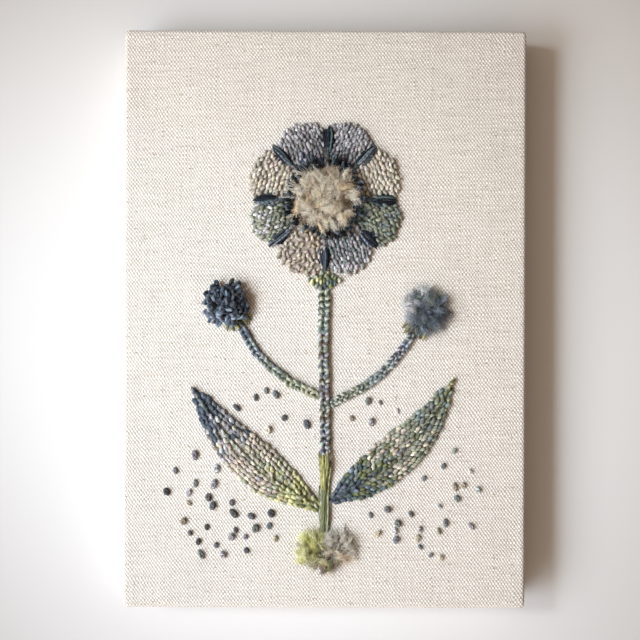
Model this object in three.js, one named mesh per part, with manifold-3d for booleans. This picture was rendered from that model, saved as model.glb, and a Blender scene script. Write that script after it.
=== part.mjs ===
// Embroidered panel: a natural canvas wrapped round four mitred stretcher bars,
// with raised wool embroidery on its face. Millimetres, +Z up. The panel lies on
// its back: z = 0 is the turned-over cloth, the embroidered face looks up along
// +Z, and +Y is the top of the picture. Origin: middle of the back, on z = 0.
import * as THREE from "three";
import { mergeVertices } from "three/addons/utils/BufferGeometryUtils.js";
import Module from "manifold-3d";

const wasm = await Module();
wasm.setup();

// ---- driving sizes -------------------------------------------------------
const PANEL_W = 160; // across the face
const PANEL_H = 230; // up the face
const PANEL_D = 20; // back of the turn-over to the face of the canvas
const CLOTH_T = 1; // canvas thickness
const EDGE_R = 1.2; // how softly the canvas turns over the bars
const CORNER_R = 1.6; // plan radius of the four corners
const TURN_IN = 22; // width of canvas turned on to the back
const GAP = 0.3; // between neighbouring pieces
const BAR_W = 32; // stretcher bar, across its face
const BAR_LIP = 6; // flat rim that carries the canvas
const BAR_FALL = 3; // bevel, so that only the rim meets the canvas
const BAR_EASE = 1.5; // eased arris on the inner back edge
const FACE_Z = PANEL_D + GAP; // where the embroidery starts

// ---- finishes ------------------------------------------------------------
const finish = (color, roughness) =>
  new THREE.MeshStandardMaterial({ color, roughness, metalness: 0 });
const MATERIAL = {
  canvas: finish(0xe3dbcf, 0.95),
  pine: finish(0xd2b488, 0.7),
  bloom: finish(0x8d8c93, 0.95),
  pile: finish(0xbfae96, 1),
  stem: finish(0x75806f, 0.95),
  leaf: finish(0x8c8c78, 0.95),
  navy: finish(0x2c3950, 1),
  blue: finish(0x51698a, 1),
  moss: finish(0xa8a564, 1),
};

// ---- helpers -------------------------------------------------------------
function meshFrom(points, faces) {
  const g = new THREE.BufferGeometry();
  g.setAttribute("position", new THREE.Float32BufferAttribute(points.flat(), 3));
  g.setIndex(faces.flat());
  g.computeVertexNormals();
  return g;
}

function solidOf(geometry) {
  const g = geometry.clone();
  g.deleteAttribute("normal");
  g.deleteAttribute("uv");
  const m = mergeVertices(g, 1e-4);
  return new wasm.Manifold(
    new wasm.Mesh({
      numProp: 3,
      vertProperties: m.attributes.position.array,
      triVerts: new Uint32Array(m.index.array),
    }),
  );
}

function geometryOf(solid) {
  const m = solid.getMesh();
  const g = new THREE.BufferGeometry();
  g.setAttribute("position", new THREE.BufferAttribute(m.vertProperties, 3));
  g.setIndex(new THREE.BufferAttribute(m.triVerts, 1));
  g.computeVertexNormals();
  return g;
}

function roundedRect(w, h, r) {
  const s = new THREE.Shape();
  const [x, y] = [w / 2, h / 2];
  s.moveTo(-x + r, -y);
  s.lineTo(x - r, -y);
  s.absarc(x - r, -y + r, r, -Math.PI / 2, 0);
  s.lineTo(x, y - r);
  s.absarc(x - r, y - r, r, 0, Math.PI / 2);
  s.lineTo(-x + r, y);
  s.absarc(-x + r, y - r, r, Math.PI / 2, Math.PI);
  s.lineTo(-x, -y + r);
  s.absarc(-x + r, -y + r, r, Math.PI, 1.5 * Math.PI);
  return s;
}

// A straight bar whose section is a closed outline of (in from the outer edge,
// height), mitred at both ends. It lies along x with its outer edge at y = 0.
function mitredBar(length, section) {
  const end = (inward) => length / 2 - inward - GAP / 2;
  const points = section.flatMap(([inward, z]) => [
    [-end(inward), -inward, z],
    [end(inward), -inward, z],
  ]);
  const n = section.length;
  const faces = [];
  for (let i = 0; i < n; i++) {
    const [a, b] = [2 * i, 2 * ((i + 1) % n)];
    faces.push([a, b, b + 1], [a, b + 1, a + 1]);
  }
  for (let i = 1; i < n - 1; i++)
    faces.push([0, 2 * (i + 1), 2 * i], [1, 2 * i + 1, 2 * (i + 1) + 1]);
  return meshFrom(points, faces);
}

// A low ridge of stitching: half-round sections of the given width and height,
// flat underneath, along a centre line in the plane of the canvas.
function ridge(line, sections, arcSteps) {
  const curve = new THREE.CatmullRomCurve3(
    line.map(({ x, y }) => new THREE.Vector3(x, y, 0)),
  );
  const points = [];
  for (const { along, width, height } of sections) {
    const p = curve.getPointAt(along);
    const t = curve.getTangentAt(along);
    for (let i = 0; i <= arcSteps; i++) {
      const a = (Math.PI * i) / arcSteps;
      const side = (Math.cos(a) * width) / 2;
      points.push([
        p.x + t.y * side,
        p.y - t.x * side,
        FACE_Z + Math.sin(a) * height,
      ]);
    }
  }
  const m = arcSteps + 1;
  const faces = [];
  for (let s = 0; s < sections.length - 1; s++)
    for (let i = 0; i < m; i++) {
      const j = (i + 1) % m;
      const [a, b, c, d] = [s * m + i, s * m + j, (s + 1) * m + i, (s + 1) * m + j];
      faces.push([a, d, b], [a, c, d]);
    }
  const last = (sections.length - 1) * m;
  for (let i = 1; i < m - 1; i++)
    faces.push([0, i, i + 1], [last, last + i + 1, last + i]);
  return meshFrom(points, faces);
}

// A domed tuft or pad about a centre: rings that shrink as they rise.
function dome({ x, y, z, radius, rings, steps }) {
  const points = [[x, y, z]];
  const ringAt = (scale, height) => {
    for (let i = 0; i < steps; i++) {
      const a = (2 * Math.PI * i) / steps;
      const r = radius(a) * scale;
      points.push([x + r * Math.cos(a), y + r * Math.sin(a), z + height]);
    }
  };
  ringAt(rings[0].scale, 0);
  for (const { scale, height } of rings.slice(1, -1)) ringAt(scale, height);
  points.push([x, y, z + rings[rings.length - 1].height]);
  const top = points.length - 1;
  const at = (ring, i) => 1 + ring * steps + (i % steps);
  const faces = [];
  for (let i = 0; i < steps; i++) {
    faces.push([0, at(0, i + 1), at(0, i)]);
    for (let k = 0; k < rings.length - 2; k++)
      faces.push(
        [at(k, i), at(k, i + 1), at(k + 1, i + 1)],
        [at(k, i), at(k + 1, i + 1), at(k + 1, i)],
      );
    faces.push([at(rings.length - 2, i), at(rings.length - 2, i + 1), top]);
  }
  return meshFrom(points, faces);
}

const panel = new THREE.Group();
function add(name, geometry, material, place = {}) {
  const mesh = new THREE.Mesh(geometry, material);
  mesh.name = name;
  mesh.position.set(place.x ?? 0, place.y ?? 0, place.z ?? 0);
  mesh.rotation.z = place.turn ?? 0;
  panel.add(mesh);
  return mesh;
}

// ---- canvas --------------------------------------------------------------
// One cloth: face, four sides and the turn-over on the back.
function slab(w, h, r, z0, z1, ease) {
  const g = new THREE.ExtrudeGeometry(roundedRect(w - 2 * ease, h - 2 * ease, r), {
    depth: z1 - z0 - 2 * ease,
    bevelEnabled: ease > 0,
    bevelThickness: ease,
    bevelSize: ease,
    bevelSegments: 3,
    curveSegments: 3,
    steps: 1,
  });
  return g.translate(0, 0, z0 + ease);
}
const outside = solidOf(slab(PANEL_W, PANEL_H, CORNER_R - EDGE_R + 0.2, 0, PANEL_D, EDGE_R));
const inside = solidOf(
  slab(PANEL_W - 2 * CLOTH_T, PANEL_H - 2 * CLOTH_T, 0.5, CLOTH_T, PANEL_D - CLOTH_T, 0),
);
const backOpening = solidOf(
  slab(PANEL_W - 2 * TURN_IN, PANEL_H - 2 * TURN_IN, 1, -1, CLOTH_T + 1, 0),
);
add("canvas", geometryOf(outside.subtract(inside).subtract(backOpening)), MATERIAL.canvas);

// ---- stretcher bars ------------------------------------------------------
const BAR_BACK = CLOTH_T + GAP;
const BAR_FRONT = PANEL_D - CLOTH_T - GAP;
const BAR_SECTION = [
  [0, BAR_BACK],
  [0, BAR_FRONT],
  [BAR_LIP, BAR_FRONT],
  [BAR_W, BAR_FRONT - BAR_FALL],
  [BAR_W, BAR_BACK + BAR_EASE],
  [BAR_W - BAR_EASE, BAR_BACK],
];
const OUT_X = PANEL_W / 2 - CLOTH_T - GAP;
const OUT_Y = PANEL_H / 2 - CLOTH_T - GAP;
const BARS = [
  { name: "bar_top", length: 2 * OUT_X, x: 0, y: OUT_Y, turn: 0 },
  { name: "bar_bottom", length: 2 * OUT_X, x: 0, y: -OUT_Y, turn: Math.PI },
  { name: "bar_left", length: 2 * OUT_Y, x: -OUT_X, y: 0, turn: Math.PI / 2 },
  { name: "bar_right", length: 2 * OUT_Y, x: OUT_X, y: 0, turn: -Math.PI / 2 },
];
for (const bar of BARS) add(bar.name, mitredBar(bar.length, BAR_SECTION), MATERIAL.pine, bar);

// ---- embroidery ----------------------------------------------------------
// Round bloom of eight petals, a low pad of close stitches.
const BLOOM = { x: 0, y: 48, petals: 8, reach: 32, notch: 28, rim: 1.6, crown: 3 };
const petalEdge = (a) =>
  BLOOM.notch +
  (BLOOM.reach - BLOOM.notch) *
    Math.abs(Math.sin((BLOOM.petals / 2) * (a - Math.PI / 2))) ** 0.7;
add(
  "bloom",
  dome({
    x: BLOOM.x,
    y: BLOOM.y,
    z: FACE_Z,
    radius: petalEdge,
    steps: 96,
    rings: [
      { scale: 1, height: 0 },
      { scale: 1, height: BLOOM.rim },
      { scale: 0.88, height: BLOOM.crown },
      { scale: 0.5, height: BLOOM.crown },
      { scale: 0, height: BLOOM.crown },
    ],
  }),
  MATERIAL.bloom,
);

// Tufts of cut pile: the bloom's middle, two round buds and the foot.
const TUFTS = [
  { name: "pile_middle", x: 0, y: 48, wide: 16, tall: 16, lift: BLOOM.crown + GAP, height: 8, lobes: 7, material: "pile" },
  { name: "bud_left", x: -39, y: 6, wide: 9.5, tall: 9, lift: 0, height: 9, lobes: 5, material: "navy" },
  { name: "bud_right", x: 40, y: 3.5, wide: 9, tall: 9.5, lift: 0, height: 8.5, lobes: 6, material: "blue" },
  { name: "foot_tuft", x: 0.5, y: -92, wide: 12, tall: 8.5, lift: 0, height: 8, lobes: 5, material: "moss" },
];
for (const t of TUFTS)
  add(
    t.name,
    dome({
      x: t.x,
      y: t.y,
      z: FACE_Z + t.lift,
      radius: (a) =>
        Math.hypot(t.wide * Math.cos(a), t.tall * Math.sin(a)) *
        (1 + 0.04 * Math.cos(t.lobes * a)),
      steps: 48,
      rings: [
        { scale: 0.94, height: 0 },
        { scale: 1, height: 0.3 * t.height },
        { scale: 0.88, height: 0.65 * t.height },
        { scale: 0.6, height: 0.9 * t.height },
        { scale: 0, height: t.height },
      ],
    }),
    MATERIAL[t.material],
  );

// Chain-stitched stems. End sections are small, so that the ends close.
const STEM_W = 4.8;
const STEM_H = 2.6;
const STEMS = [
  { name: "stem", line: [{ x: 0, y: 11.4 }, { x: -0.4, y: -8 }, { x: 0.3, y: -44 }, { x: 0, y: -81 }], width: STEM_W },
  { name: "branch_left", line: [{ x: -3.2, y: -30 }, { x: -15, y: -24 }, { x: -26, y: -14.5 }, { x: -33.6, y: -2.6 }], width: 4 },
  { name: "branch_right", line: [{ x: 3.2, y: -33 }, { x: 16, y: -26.5 }, { x: 27, y: -17 }, { x: 35, y: -5.5 }], width: 4 },
];
const STEM_SECTIONS = 14;
for (const s of STEMS) {
  const rows = [];
  for (let i = 0; i <= STEM_SECTIONS; i++) {
    const end = i === 0 || i === STEM_SECTIONS ? 0.7 : 1;
    rows.push({ along: i / STEM_SECTIONS, width: s.width * end, height: STEM_H * end });
  }
  add(s.name, ridge(s.line, rows, 8), MATERIAL.stem);
}

// The cup of green stitches between the stem and the bloom.
const CALYX = { x: 0, low: 11.7, top: 16.6 };
const CALYX_SECTIONS = [
  { along: 0, width: 4.6, height: 2 },
  { along: 0.5, width: 8, height: 2.6 },
  { along: 1, width: 13, height: 2.2 },
];
add(
  "calyx",
  ridge([{ x: CALYX.x, y: CALYX.low }, { x: CALYX.x, y: CALYX.top }], CALYX_SECTIONS, 10),
  MATERIAL.stem,
);

// Leaves of woven filling, widest below the middle.
const LEAF_SECTIONS = [
  { along: 0, width: 0.2, height: 0.55 },
  { along: 0.08, width: 0.44, height: 0.75 },
  { along: 0.2, width: 0.78, height: 0.95 },
  { along: 0.35, width: 1, height: 1 },
  { along: 0.5, width: 0.98, height: 1 },
  { along: 0.65, width: 0.82, height: 0.95 },
  { along: 0.8, width: 0.56, height: 0.85 },
  { along: 0.92, width: 0.32, height: 0.7 },
  { along: 1, width: 0.14, height: 0.5 },
];
const LEAVES = [
  { name: "leaf_left", line: [{ x: -3.6, y: -74 }, { x: -22, y: -62 }, { x: -39, y: -46 }, { x: -53, y: -27 }], width: 18, height: 3 },
  { name: "leaf_right", line: [{ x: 3.6, y: -71.5 }, { x: 21, y: -60 }, { x: 38, y: -44.5 }, { x: 51, y: -24.5 }], width: 17.5, height: 3 },
];
for (const l of LEAVES)
  add(
    l.name,
    ridge(
      l.line,
      LEAF_SECTIONS.map((r) => ({ along: r.along, width: r.width * l.width, height: r.height * l.height })),
      10,
    ),
    MATERIAL.leaf,
  );

export default panel;
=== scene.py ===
"""Looks of the embroidered panel: wrapped canvas, stretcher bars and raised wool embroidery.
Lengths are in millimetres until a mesh is made, in the frame of the construction."""
import math
import bpy
import numpy as np
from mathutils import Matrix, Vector


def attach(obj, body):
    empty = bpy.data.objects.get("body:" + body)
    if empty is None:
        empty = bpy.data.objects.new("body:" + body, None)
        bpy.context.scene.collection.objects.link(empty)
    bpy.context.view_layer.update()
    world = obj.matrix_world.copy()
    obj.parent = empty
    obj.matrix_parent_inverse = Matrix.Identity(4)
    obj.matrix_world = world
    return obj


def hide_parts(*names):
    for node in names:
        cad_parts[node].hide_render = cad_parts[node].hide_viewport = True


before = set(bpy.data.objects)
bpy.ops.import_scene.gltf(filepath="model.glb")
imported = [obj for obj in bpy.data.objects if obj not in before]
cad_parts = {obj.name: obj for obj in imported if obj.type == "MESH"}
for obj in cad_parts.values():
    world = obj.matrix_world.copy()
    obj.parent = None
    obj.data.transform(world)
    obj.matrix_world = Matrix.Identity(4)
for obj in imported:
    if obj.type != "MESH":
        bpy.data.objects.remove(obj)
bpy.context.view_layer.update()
RNG = np.random.default_rng(20)
MM = 0.001

# ---- sizes shared with the construction ------------------------------------
PANEL_W, PANEL_H, PANEL_D = 160.0, 230.0, 20.0
CLOTH_T = 1.0
EDGE_R = 1.3
TURN_IN = 22.0
FACE = PANEL_D
BLOOM = dict(x=0.0, y=48.0, petals=8, reach=32.0, notch=28.0, inner=12.5)
STEM_LINE = [(0.0, 11.4), (-0.4, -8.0), (0.3, -44.0), (0.0, -81.0)]
BRANCH_LINES = dict(
    left=[(-2.0, -30.7), (-15.0, -24.0), (-26.0, -14.5), (-33.6, -2.6)],
    right=[(2.0, -33.7), (16.0, -26.5), (27.0, -17.0), (35.0, -5.5)],
)
LEAF_LINES = dict(
    left=[(-2.6, -74.6), (-22.0, -62.0), (-39.0, -46.0), (-53.0, -27.0)],
    right=[(2.6, -72.1), (21.0, -60.0), (38.0, -44.5), (51.0, -24.5)],
)
LEAF_WIDTH = dict(left=18.0, right=17.5)
LEAF_SHAPE = dict(
    along=[0.0, 0.08, 0.2, 0.35, 0.5, 0.65, 0.8, 0.92, 1.0],
    width=[0.2, 0.44, 0.78, 1.0, 0.98, 0.82, 0.56, 0.32, 0.14],
)
TUFTS = dict(
    middle=dict(x=0.0, y=48.0, wide=16.0, tall=16.0),
    bud_left=dict(x=-39.0, y=6.0, wide=9.5, tall=9.0),
    bud_right=dict(x=40.0, y=3.5, wide=9.0, tall=9.5),
    foot=dict(x=0.5, y=-92.0, wide=12.0, tall=8.5),
)

# ---- yarn colours, sRGB -----------------------------------------------------
YARN = dict(
    night=(17, 23, 33), navy=(38, 44, 55), charcoal=(54, 55, 60), ink=(56, 63, 73), slate=(84, 93, 104), denim=(112, 121, 132), iron=(80, 84, 92),
    teal=(84, 101, 102), tealgrey=(126, 136, 135), lilac=(164, 163, 168), lilacgrey=(198, 197, 200), pewter=(128, 128, 132),
    oatmeal=(185, 177, 162), cream=(208, 201, 188), beige=(193, 183, 168), pink=(196, 183, 175), biscuit=(174, 159, 138),
    sage=(149, 153, 135), greygreen=(126, 131, 119), olive=(129, 130, 90), chartreuse=(184, 181, 115), lime=(205, 205, 155), pistachio=(190, 189, 147),
    moss=(111, 117, 82), forest=(68, 78, 66), umber=(84, 70, 58), fawn=(186, 166, 139),
)


def linear(rgb):
    c = np.asarray(rgb, float) / 255.0
    return np.where(c <= 0.04045, c / 12.92, ((c + 0.055) / 1.055) ** 2.4)


COL = {k: linear(v) for k, v in YARN.items()}


def jitter_colour(c, n, light=0.13, tint=0.03):
    """n versions of the colours c: each strand a little lighter, darker or warmer."""
    c = np.broadcast_to(c, (n, 3))
    k = np.exp(RNG.normal(0, light, (n, 1)))
    return np.clip(c * k * np.exp(RNG.normal(0, tint, (n, 3))), 0.004, 0.92)


def bounded(c, top=0.9):
    """The colours, dimmed where they would be brighter than any wool, with their hue kept."""
    return c * np.minimum(1.0, top / c.max(-1, keepdims=True))


def pick(names, n, weights=None):
    w = None if weights is None else np.asarray(weights, float) / np.sum(weights)
    return np.array([COL[k] for k in names])[RNG.choice(len(names), n, p=w)]


def ramp(stops, s, wander=0.5):
    """Colours picked along a run of yarns: s from 0 to 1, with neighbours mixed by wander."""
    table = np.array([COL[k] for k in stops])
    at = np.clip(s * (len(stops) - 1) + RNG.normal(0, wander, len(s)), 0, len(stops) - 1)
    return table[np.round(at).astype(int)]


# ---- curves ------------------------------------------------------------------
def catmull(points, n):
    """Centripetal Catmull-Rom through 2-D points, evenly spaced along its length: (points, tangents, length)."""
    p = np.asarray(points, float)
    p = np.vstack([2 * p[0] - p[1], p, 2 * p[-1] - p[-2]])
    out = []
    for i in range(1, len(p) - 2):
        t = np.cumsum([0] + [np.linalg.norm(p[i + k] - p[i + k - 1]) ** 0.5 for k in range(3)])
        for u in np.linspace(t[1], t[2], 80, endpoint=i == len(p) - 3):
            a = [p[i - 1 + k] + (p[i + k] - p[i - 1 + k]) * (u - t[k]) / (t[k + 1] - t[k]) for k in range(3)]
            b = [a[k] + (a[k + 1] - a[k]) * (u - t[k]) / (t[k + 2] - t[k]) for k in range(2)]
            out.append(b[0] + (b[1] - b[0]) * (u - t[1]) / (t[2] - t[1]))
    out = np.array(out)
    d = np.concatenate([[0], np.cumsum(np.linalg.norm(np.diff(out, axis=0), axis=1))])
    s = np.linspace(0, d[-1], n)
    q = np.stack([np.interp(s, d, out[:, k]) for k in range(2)], 1)
    tan = np.gradient(q, axis=0)
    return q, tan / np.linalg.norm(tan, axis=1, keepdims=True), d[-1]


def side_of(t):
    return np.stack([-t[:, 1], t[:, 0]], 1)


def resample(loop, pitch):
    """Points at about that pitch round a closed outline, with tangents."""
    p = np.vstack([loop, loop[:1]])
    d = np.concatenate([[0], np.cumsum(np.linalg.norm(np.diff(p, axis=0), axis=1))])
    n = max(6, int(round(d[-1] / pitch)))
    s = (np.arange(n) + 0.5) * d[-1] / n
    q = np.stack([np.interp(s, d, p[:, k]) for k in range(2)], 1)
    e = np.stack([np.interp((s + 0.4) % d[-1], d, p[:, k]) for k in range(2)], 1) - q
    return q, e / np.maximum(np.linalg.norm(e, axis=1, keepdims=True), 1e-9)


def depth_in(points, loop):
    """How far inside a closed outline each point is; negative outside."""
    a, b = loop, np.roll(loop, -1, 0)
    ab = b - a
    ap = points[:, None] - a[None]
    t = np.clip((ap * ab).sum(2) / np.maximum((ab * ab).sum(1), 1e-12), 0, 1)
    d = np.linalg.norm(ap - t[..., None] * ab, axis=2).min(1)
    x, y = points[:, :1], points[:, 1:]
    cross = ((a[:, 1] > y) != (b[:, 1] > y)) & (
        x < (b[:, 0] - a[:, 0]) * (y - a[:, 1]) / np.where(b[:, 1] == a[:, 1], 1e-12, b[:, 1] - a[:, 1]) + a[:, 0]
    )
    return np.where(cross.sum(1) % 2 == 1, d, -d)


# ---- a mesh gathered from many closed strands and pads ------------------------
class Piece:
    def __init__(self, name):
        self.name = name
        self.verts, self.cols, self.faces, self.uvs, self.yarn, self.mats, self.bands = [], [], [], [], [], [], []
        self.n = 0

    def _band(self, cells, aspect, area):
        self.bands.append(dict(cells=cells, aspect=aspect, area=area))
        return len(self.bands) - 1

    def strands(self, paths, radii, colours, ref=(0, 0, 1), sides=8, ply=0.0, lobes=2, lay=1.4, groove_shade=0.3, mat=0, other=None):
        """Closed yarns along paths (strands, points, 3). ply is how deep the twist cuts, lay its length in diameters, and other the colour of the second ply."""
        S, N, _ = paths.shape
        radii = np.broadcast_to(radii, (S, N))
        if colours.ndim == 2:
            colours = np.broadcast_to(colours[:, None], (S, N, 3))
        t = np.gradient(paths, axis=1)
        t /= np.maximum(np.linalg.norm(t, axis=2, keepdims=True), 1e-9)
        ref = np.broadcast_to(np.asarray(ref, float), (S, 3))[:, None]
        a = np.cross(t, ref)
        a /= np.maximum(np.linalg.norm(a, axis=2, keepdims=True), 1e-9)
        b = np.cross(t, a)
        step = np.linalg.norm(np.diff(paths, axis=1), axis=2)
        run = np.concatenate([np.zeros((S, 1)), np.cumsum(step, 1)], 1)
        mean_r = radii.mean(1, keepdims=True)
        turn = run / (2 * mean_r * lay) * (2 * np.pi / lobes) + RNG.uniform(0, 6.28, (S, 1))
        phi = np.arange(sides) * 2 * np.pi / sides
        wave = np.cos(lobes * (phi[None, None] - turn[..., None]))
        r = radii[..., None] * (1 + ply * wave)
        v = paths[:, :, None] + r[..., None] * (np.cos(phi)[:, None] * a[:, :, None] + np.sin(phi)[:, None] * b[:, :, None])
        tips = np.stack([paths[:, 0] - t[:, 0] * radii[:, :1] * 0.5, paths[:, -1] + t[:, -1] * radii[:, -1:] * 0.5], 1)
        self.verts.append(np.concatenate([v.reshape(S, -1, 3), tips], 1).reshape(-1, 3))
        # painted shade: the colour is darkened in the hollows between the plies
        shade = (1 - groove_shade * (0.5 - 0.5 * wave))[..., None] if ply else np.ones((1, 1, sides, 1))
        c = np.broadcast_to(colours[:, :, None] * shade, (S, N, sides, 3))
        if other is not None:
            part = (0.5 + 0.5 * np.tanh(3 * np.cos(phi[None, None] - turn[..., None])))[..., None]
            # the second ply carries the same painted shade along the strand as the first
            along_shade = colours / np.maximum(colours.max(1, keepdims=True), 1e-6)
            c = c * part + other[:, None, None] * along_shade[:, :, None] * shade * (1 - part)
        c = c.reshape(S, -1, 3)
        # painted shade: the two end caps are darkened where the yarn goes into the cloth
        self.cols.append(np.concatenate([c, colours[:, :1] * 0.7, colours[:, -1:] * 0.7], 1).reshape(-1, 3))
        # faces of one strand, then of all
        i, j = np.meshgrid(np.arange(N - 1), np.arange(sides), indexing="ij")
        k = (j + 1) % sides
        quads = np.stack([i * sides + j, i * sides + k, (i + 1) * sides + k, (i + 1) * sides + j], -1).reshape(-1, 4)
        jj = np.arange(sides)
        kk = (jj + 1) % sides
        lo, hi = np.full(sides, N * sides), np.full(sides, N * sides + 1)
        tris = np.concatenate([np.stack([lo, kk, jj], 1), np.stack([hi, (N - 1) * sides + jj, (N - 1) * sides + kk], 1)])
        one = N * sides + 2
        base = self.n + np.arange(S)[:, None, None] * one
        self.faces.append((quads[None] + base).reshape(-1, 4))
        self.faces.append((tris[None] + base).reshape(-1, 3))
        # where each corner lies in its strand's own cell of the bake map: along, around
        u = lambda q: (q + 1) / (N + 1)
        uq = np.stack([np.stack([u(i), j / sides], -1), np.stack([u(i), (j + 1) / sides], -1),
                       np.stack([u(i + 1), (j + 1) / sides], -1), np.stack([u(i + 1), j / sides], -1)], 2).reshape(-1, 4, 2)
        ut = np.concatenate([
            np.stack([np.stack([0 * jj, (jj + 0.5) / sides], 1), np.stack([u(0) + 0 * jj, (jj + 1) / sides], 1), np.stack([u(0) + 0 * jj, jj / sides], 1)], 1),
            np.stack([np.stack([1 + 0 * jj, (jj + 0.5) / sides], 1), np.stack([u(N - 1) + 0 * jj, jj / sides], 1), np.stack([u(N - 1) + 0 * jj, (jj + 1) / sides], 1)], 1)])
        length = run[:, -1]
        round_mm = 2 * np.pi * mean_r[:, 0]
        band = self._band(S, max(0.2, float(length.mean() / round_mm.mean())), float((length * np.maximum(round_mm, 0.5)).sum()))
        shift = RNG.uniform(0, 40, (S, 1, 1, 2))
        for f, uv in ((quads, uq), (tris, ut)):
            self.uvs.append((band, np.repeat(np.arange(S), len(f)), np.broadcast_to(uv[None], (S,) + uv.shape).reshape(-1, uv.shape[1], 2)))
            y = uv[None] * np.stack([length, round_mm], 1)[:, None, None] + shift
            y[..., 1] += y[..., 0] * 0.55
            self.yarn.append(y.reshape(-1, uv.shape[1], 2))
            self.mats.append(np.full(S * len(f), mat))
        self.n += S * one

    def shell(self, verts, quads, colours, mat=0, flat=None):
        """A closed shell that is already made; flat is its corners' place in its own cell of the bake map."""
        self.verts.append(verts)
        self.cols.append(colours)
        self.faces.append(quads + self.n)
        xy = verts[:, :2]
        lo, hi = xy.min(0), xy.max(0)
        uv = ((xy - lo) / (hi - lo))[quads] if flat is None else flat
        e = verts[quads]
        up = np.cross(e[:, 1] - e[:, 0], e[:, 2] - e[:, 0])[:, 2] > 0
        band = self._band(2, 1.0, float(np.prod(hi - lo)) * 2)
        self.uvs.append((band, np.where(up, 0, 1), uv))
        self.yarn.append(xy[quads])
        self.mats.append(np.full(len(quads), mat))
        self.n += len(verts)

    def build(self, materials, slot, replaces=()):
        verts = np.concatenate(self.verts) * MM
        cols = np.concatenate(self.cols)
        # bands of the bake map, tallest share to the most surface
        total = sum(b["area"] for b in self.bands)
        top = 0.0
        for b in self.bands:
            h = b["area"] / total
            cell = math.sqrt(h / (b["cells"] * b["aspect"]))
            b["across"] = max(1, min(b["cells"], int(1 / (cell * b["aspect"]))))
            b["rows"] = math.ceil(b["cells"] / b["across"])
            b["y0"], b["h"] = top, h / b["rows"]
            top += h
        sizes, index, bake, yarn, mats = [], [], [], [], []
        for f, (band, cell, uv), y, m in zip(self.faces, self.uvs, self.yarn, self.mats):
            b = self.bands[band]
            w, h = 1 / b["across"], b["h"]
            o = np.stack([(cell % b["across"]) * w, b["y0"] + (cell // b["across"]) * h], 1)[:, None]
            bake.append((o + (0.05 + 0.9 * uv) * [w, h]).reshape(-1, 2))
            yarn.append(y.reshape(-1, 2))
            sizes.append(np.full(len(f), f.shape[1]))
            index.append(f.reshape(-1))
            mats.append(m)
        sizes, index = np.concatenate(sizes), np.concatenate(index)
        me = bpy.data.meshes.new(self.name)
        me.vertices.add(len(verts))
        me.vertices.foreach_set("co", verts.astype(np.float32).ravel())
        me.loops.add(len(index))
        me.loops.foreach_set("vertex_index", index.astype(np.int32))
        me.polygons.add(len(sizes))
        me.polygons.foreach_set("loop_start", np.concatenate([[0], np.cumsum(sizes)[:-1]]).astype(np.int32))
        me.polygons.foreach_set("material_index", np.concatenate(mats).astype(np.int32))
        me.polygons.foreach_set("use_smooth", np.ones(len(sizes), bool))
        me.update(calc_edges=True)
        for name, uv in (("Yarn", yarn), ("OFBake", bake)):
            layer = me.uv_layers.new(name=name)
            layer.data.foreach_set("uv", np.concatenate(uv).astype(np.float32).ravel())
        me.uv_layers["Yarn"].active_render = True
        c = me.color_attributes.new("Col", "FLOAT_COLOR", "POINT")
        c.data.foreach_set("color", np.c_[cols, np.ones(len(cols))].astype(np.float32).ravel())
        me.validate()
        ob = bpy.data.objects.new(self.name, me)
        bpy.context.collection.objects.link(ob)
        for m in materials:
            me.materials.append(m)
        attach(ob, "root")
        if replaces:
            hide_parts(*replaces)
        print("piece", self.name, "triangles", int((sizes - 2).sum()))
        return ob


# ---- stitches -------------------------------------------------------------------
def grains(piece, centre, along, z, colours, other=None, length=2.7, radius=0.76, arch=0.55, fuzz=3.0, ply=0.15, turnabout=0.2):
    """Short rice-grain stitches: two-ply yarn that comes up, arches over and goes down again."""
    S = len(centre)
    t = np.linspace(-1, 1, 9)
    ang = RNG.normal(0, turnabout, S)
    d = np.stack([along[:, 0] * np.cos(ang) - along[:, 1] * np.sin(ang), along[:, 0] * np.sin(ang) + along[:, 1] * np.cos(ang)], 1)
    half = length * 0.5 * RNG.uniform(0.8, 1.28, S)
    bend = RNG.normal(0, 0.13, S)
    n = side_of(d)
    xy = centre[:, None] + d[:, None] * (half[:, None] * t)[..., None] + n[:, None] * (bend[:, None] * (1 - t**2))[..., None]
    lift = z + RNG.normal(0, 0.13, S)
    skew = RNG.normal(0, 0.16, (S, 1))
    zz = lift[:, None] + arch * RNG.uniform(0.7, 1.3, (S, 1)) * (1 - t**2)[None] + skew * t[None] - 0.45 * np.abs(t[None]) ** 4
    paths = np.concatenate([xy, zz[..., None]], 2)
    r = (radius * RNG.uniform(0.8, 1.14, S))[:, None] * (1 - 0.6 * np.abs(t[None] + 0.12 * RNG.normal(0, 1, (S, 1))).clip(0, 1) ** 2.6)
    # painted shade: each grain is darkened towards its two ends, where the yarn goes down into the cloth
    c = colours[:, None] * (1 - 0.32 * np.abs(t) ** 3)[None, :, None]
    if other is None:
        other = np.clip(colours * np.exp(RNG.normal(-0.12, 0.28, (S, 1))), 0.004, 0.9)
    piece.strands(paths, r, c, sides=8, ply=ply, lay=1.25, groove_shade=0.36, other=other)
    stray(piece, paths, r, colours, int(S * fuzz))


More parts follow.
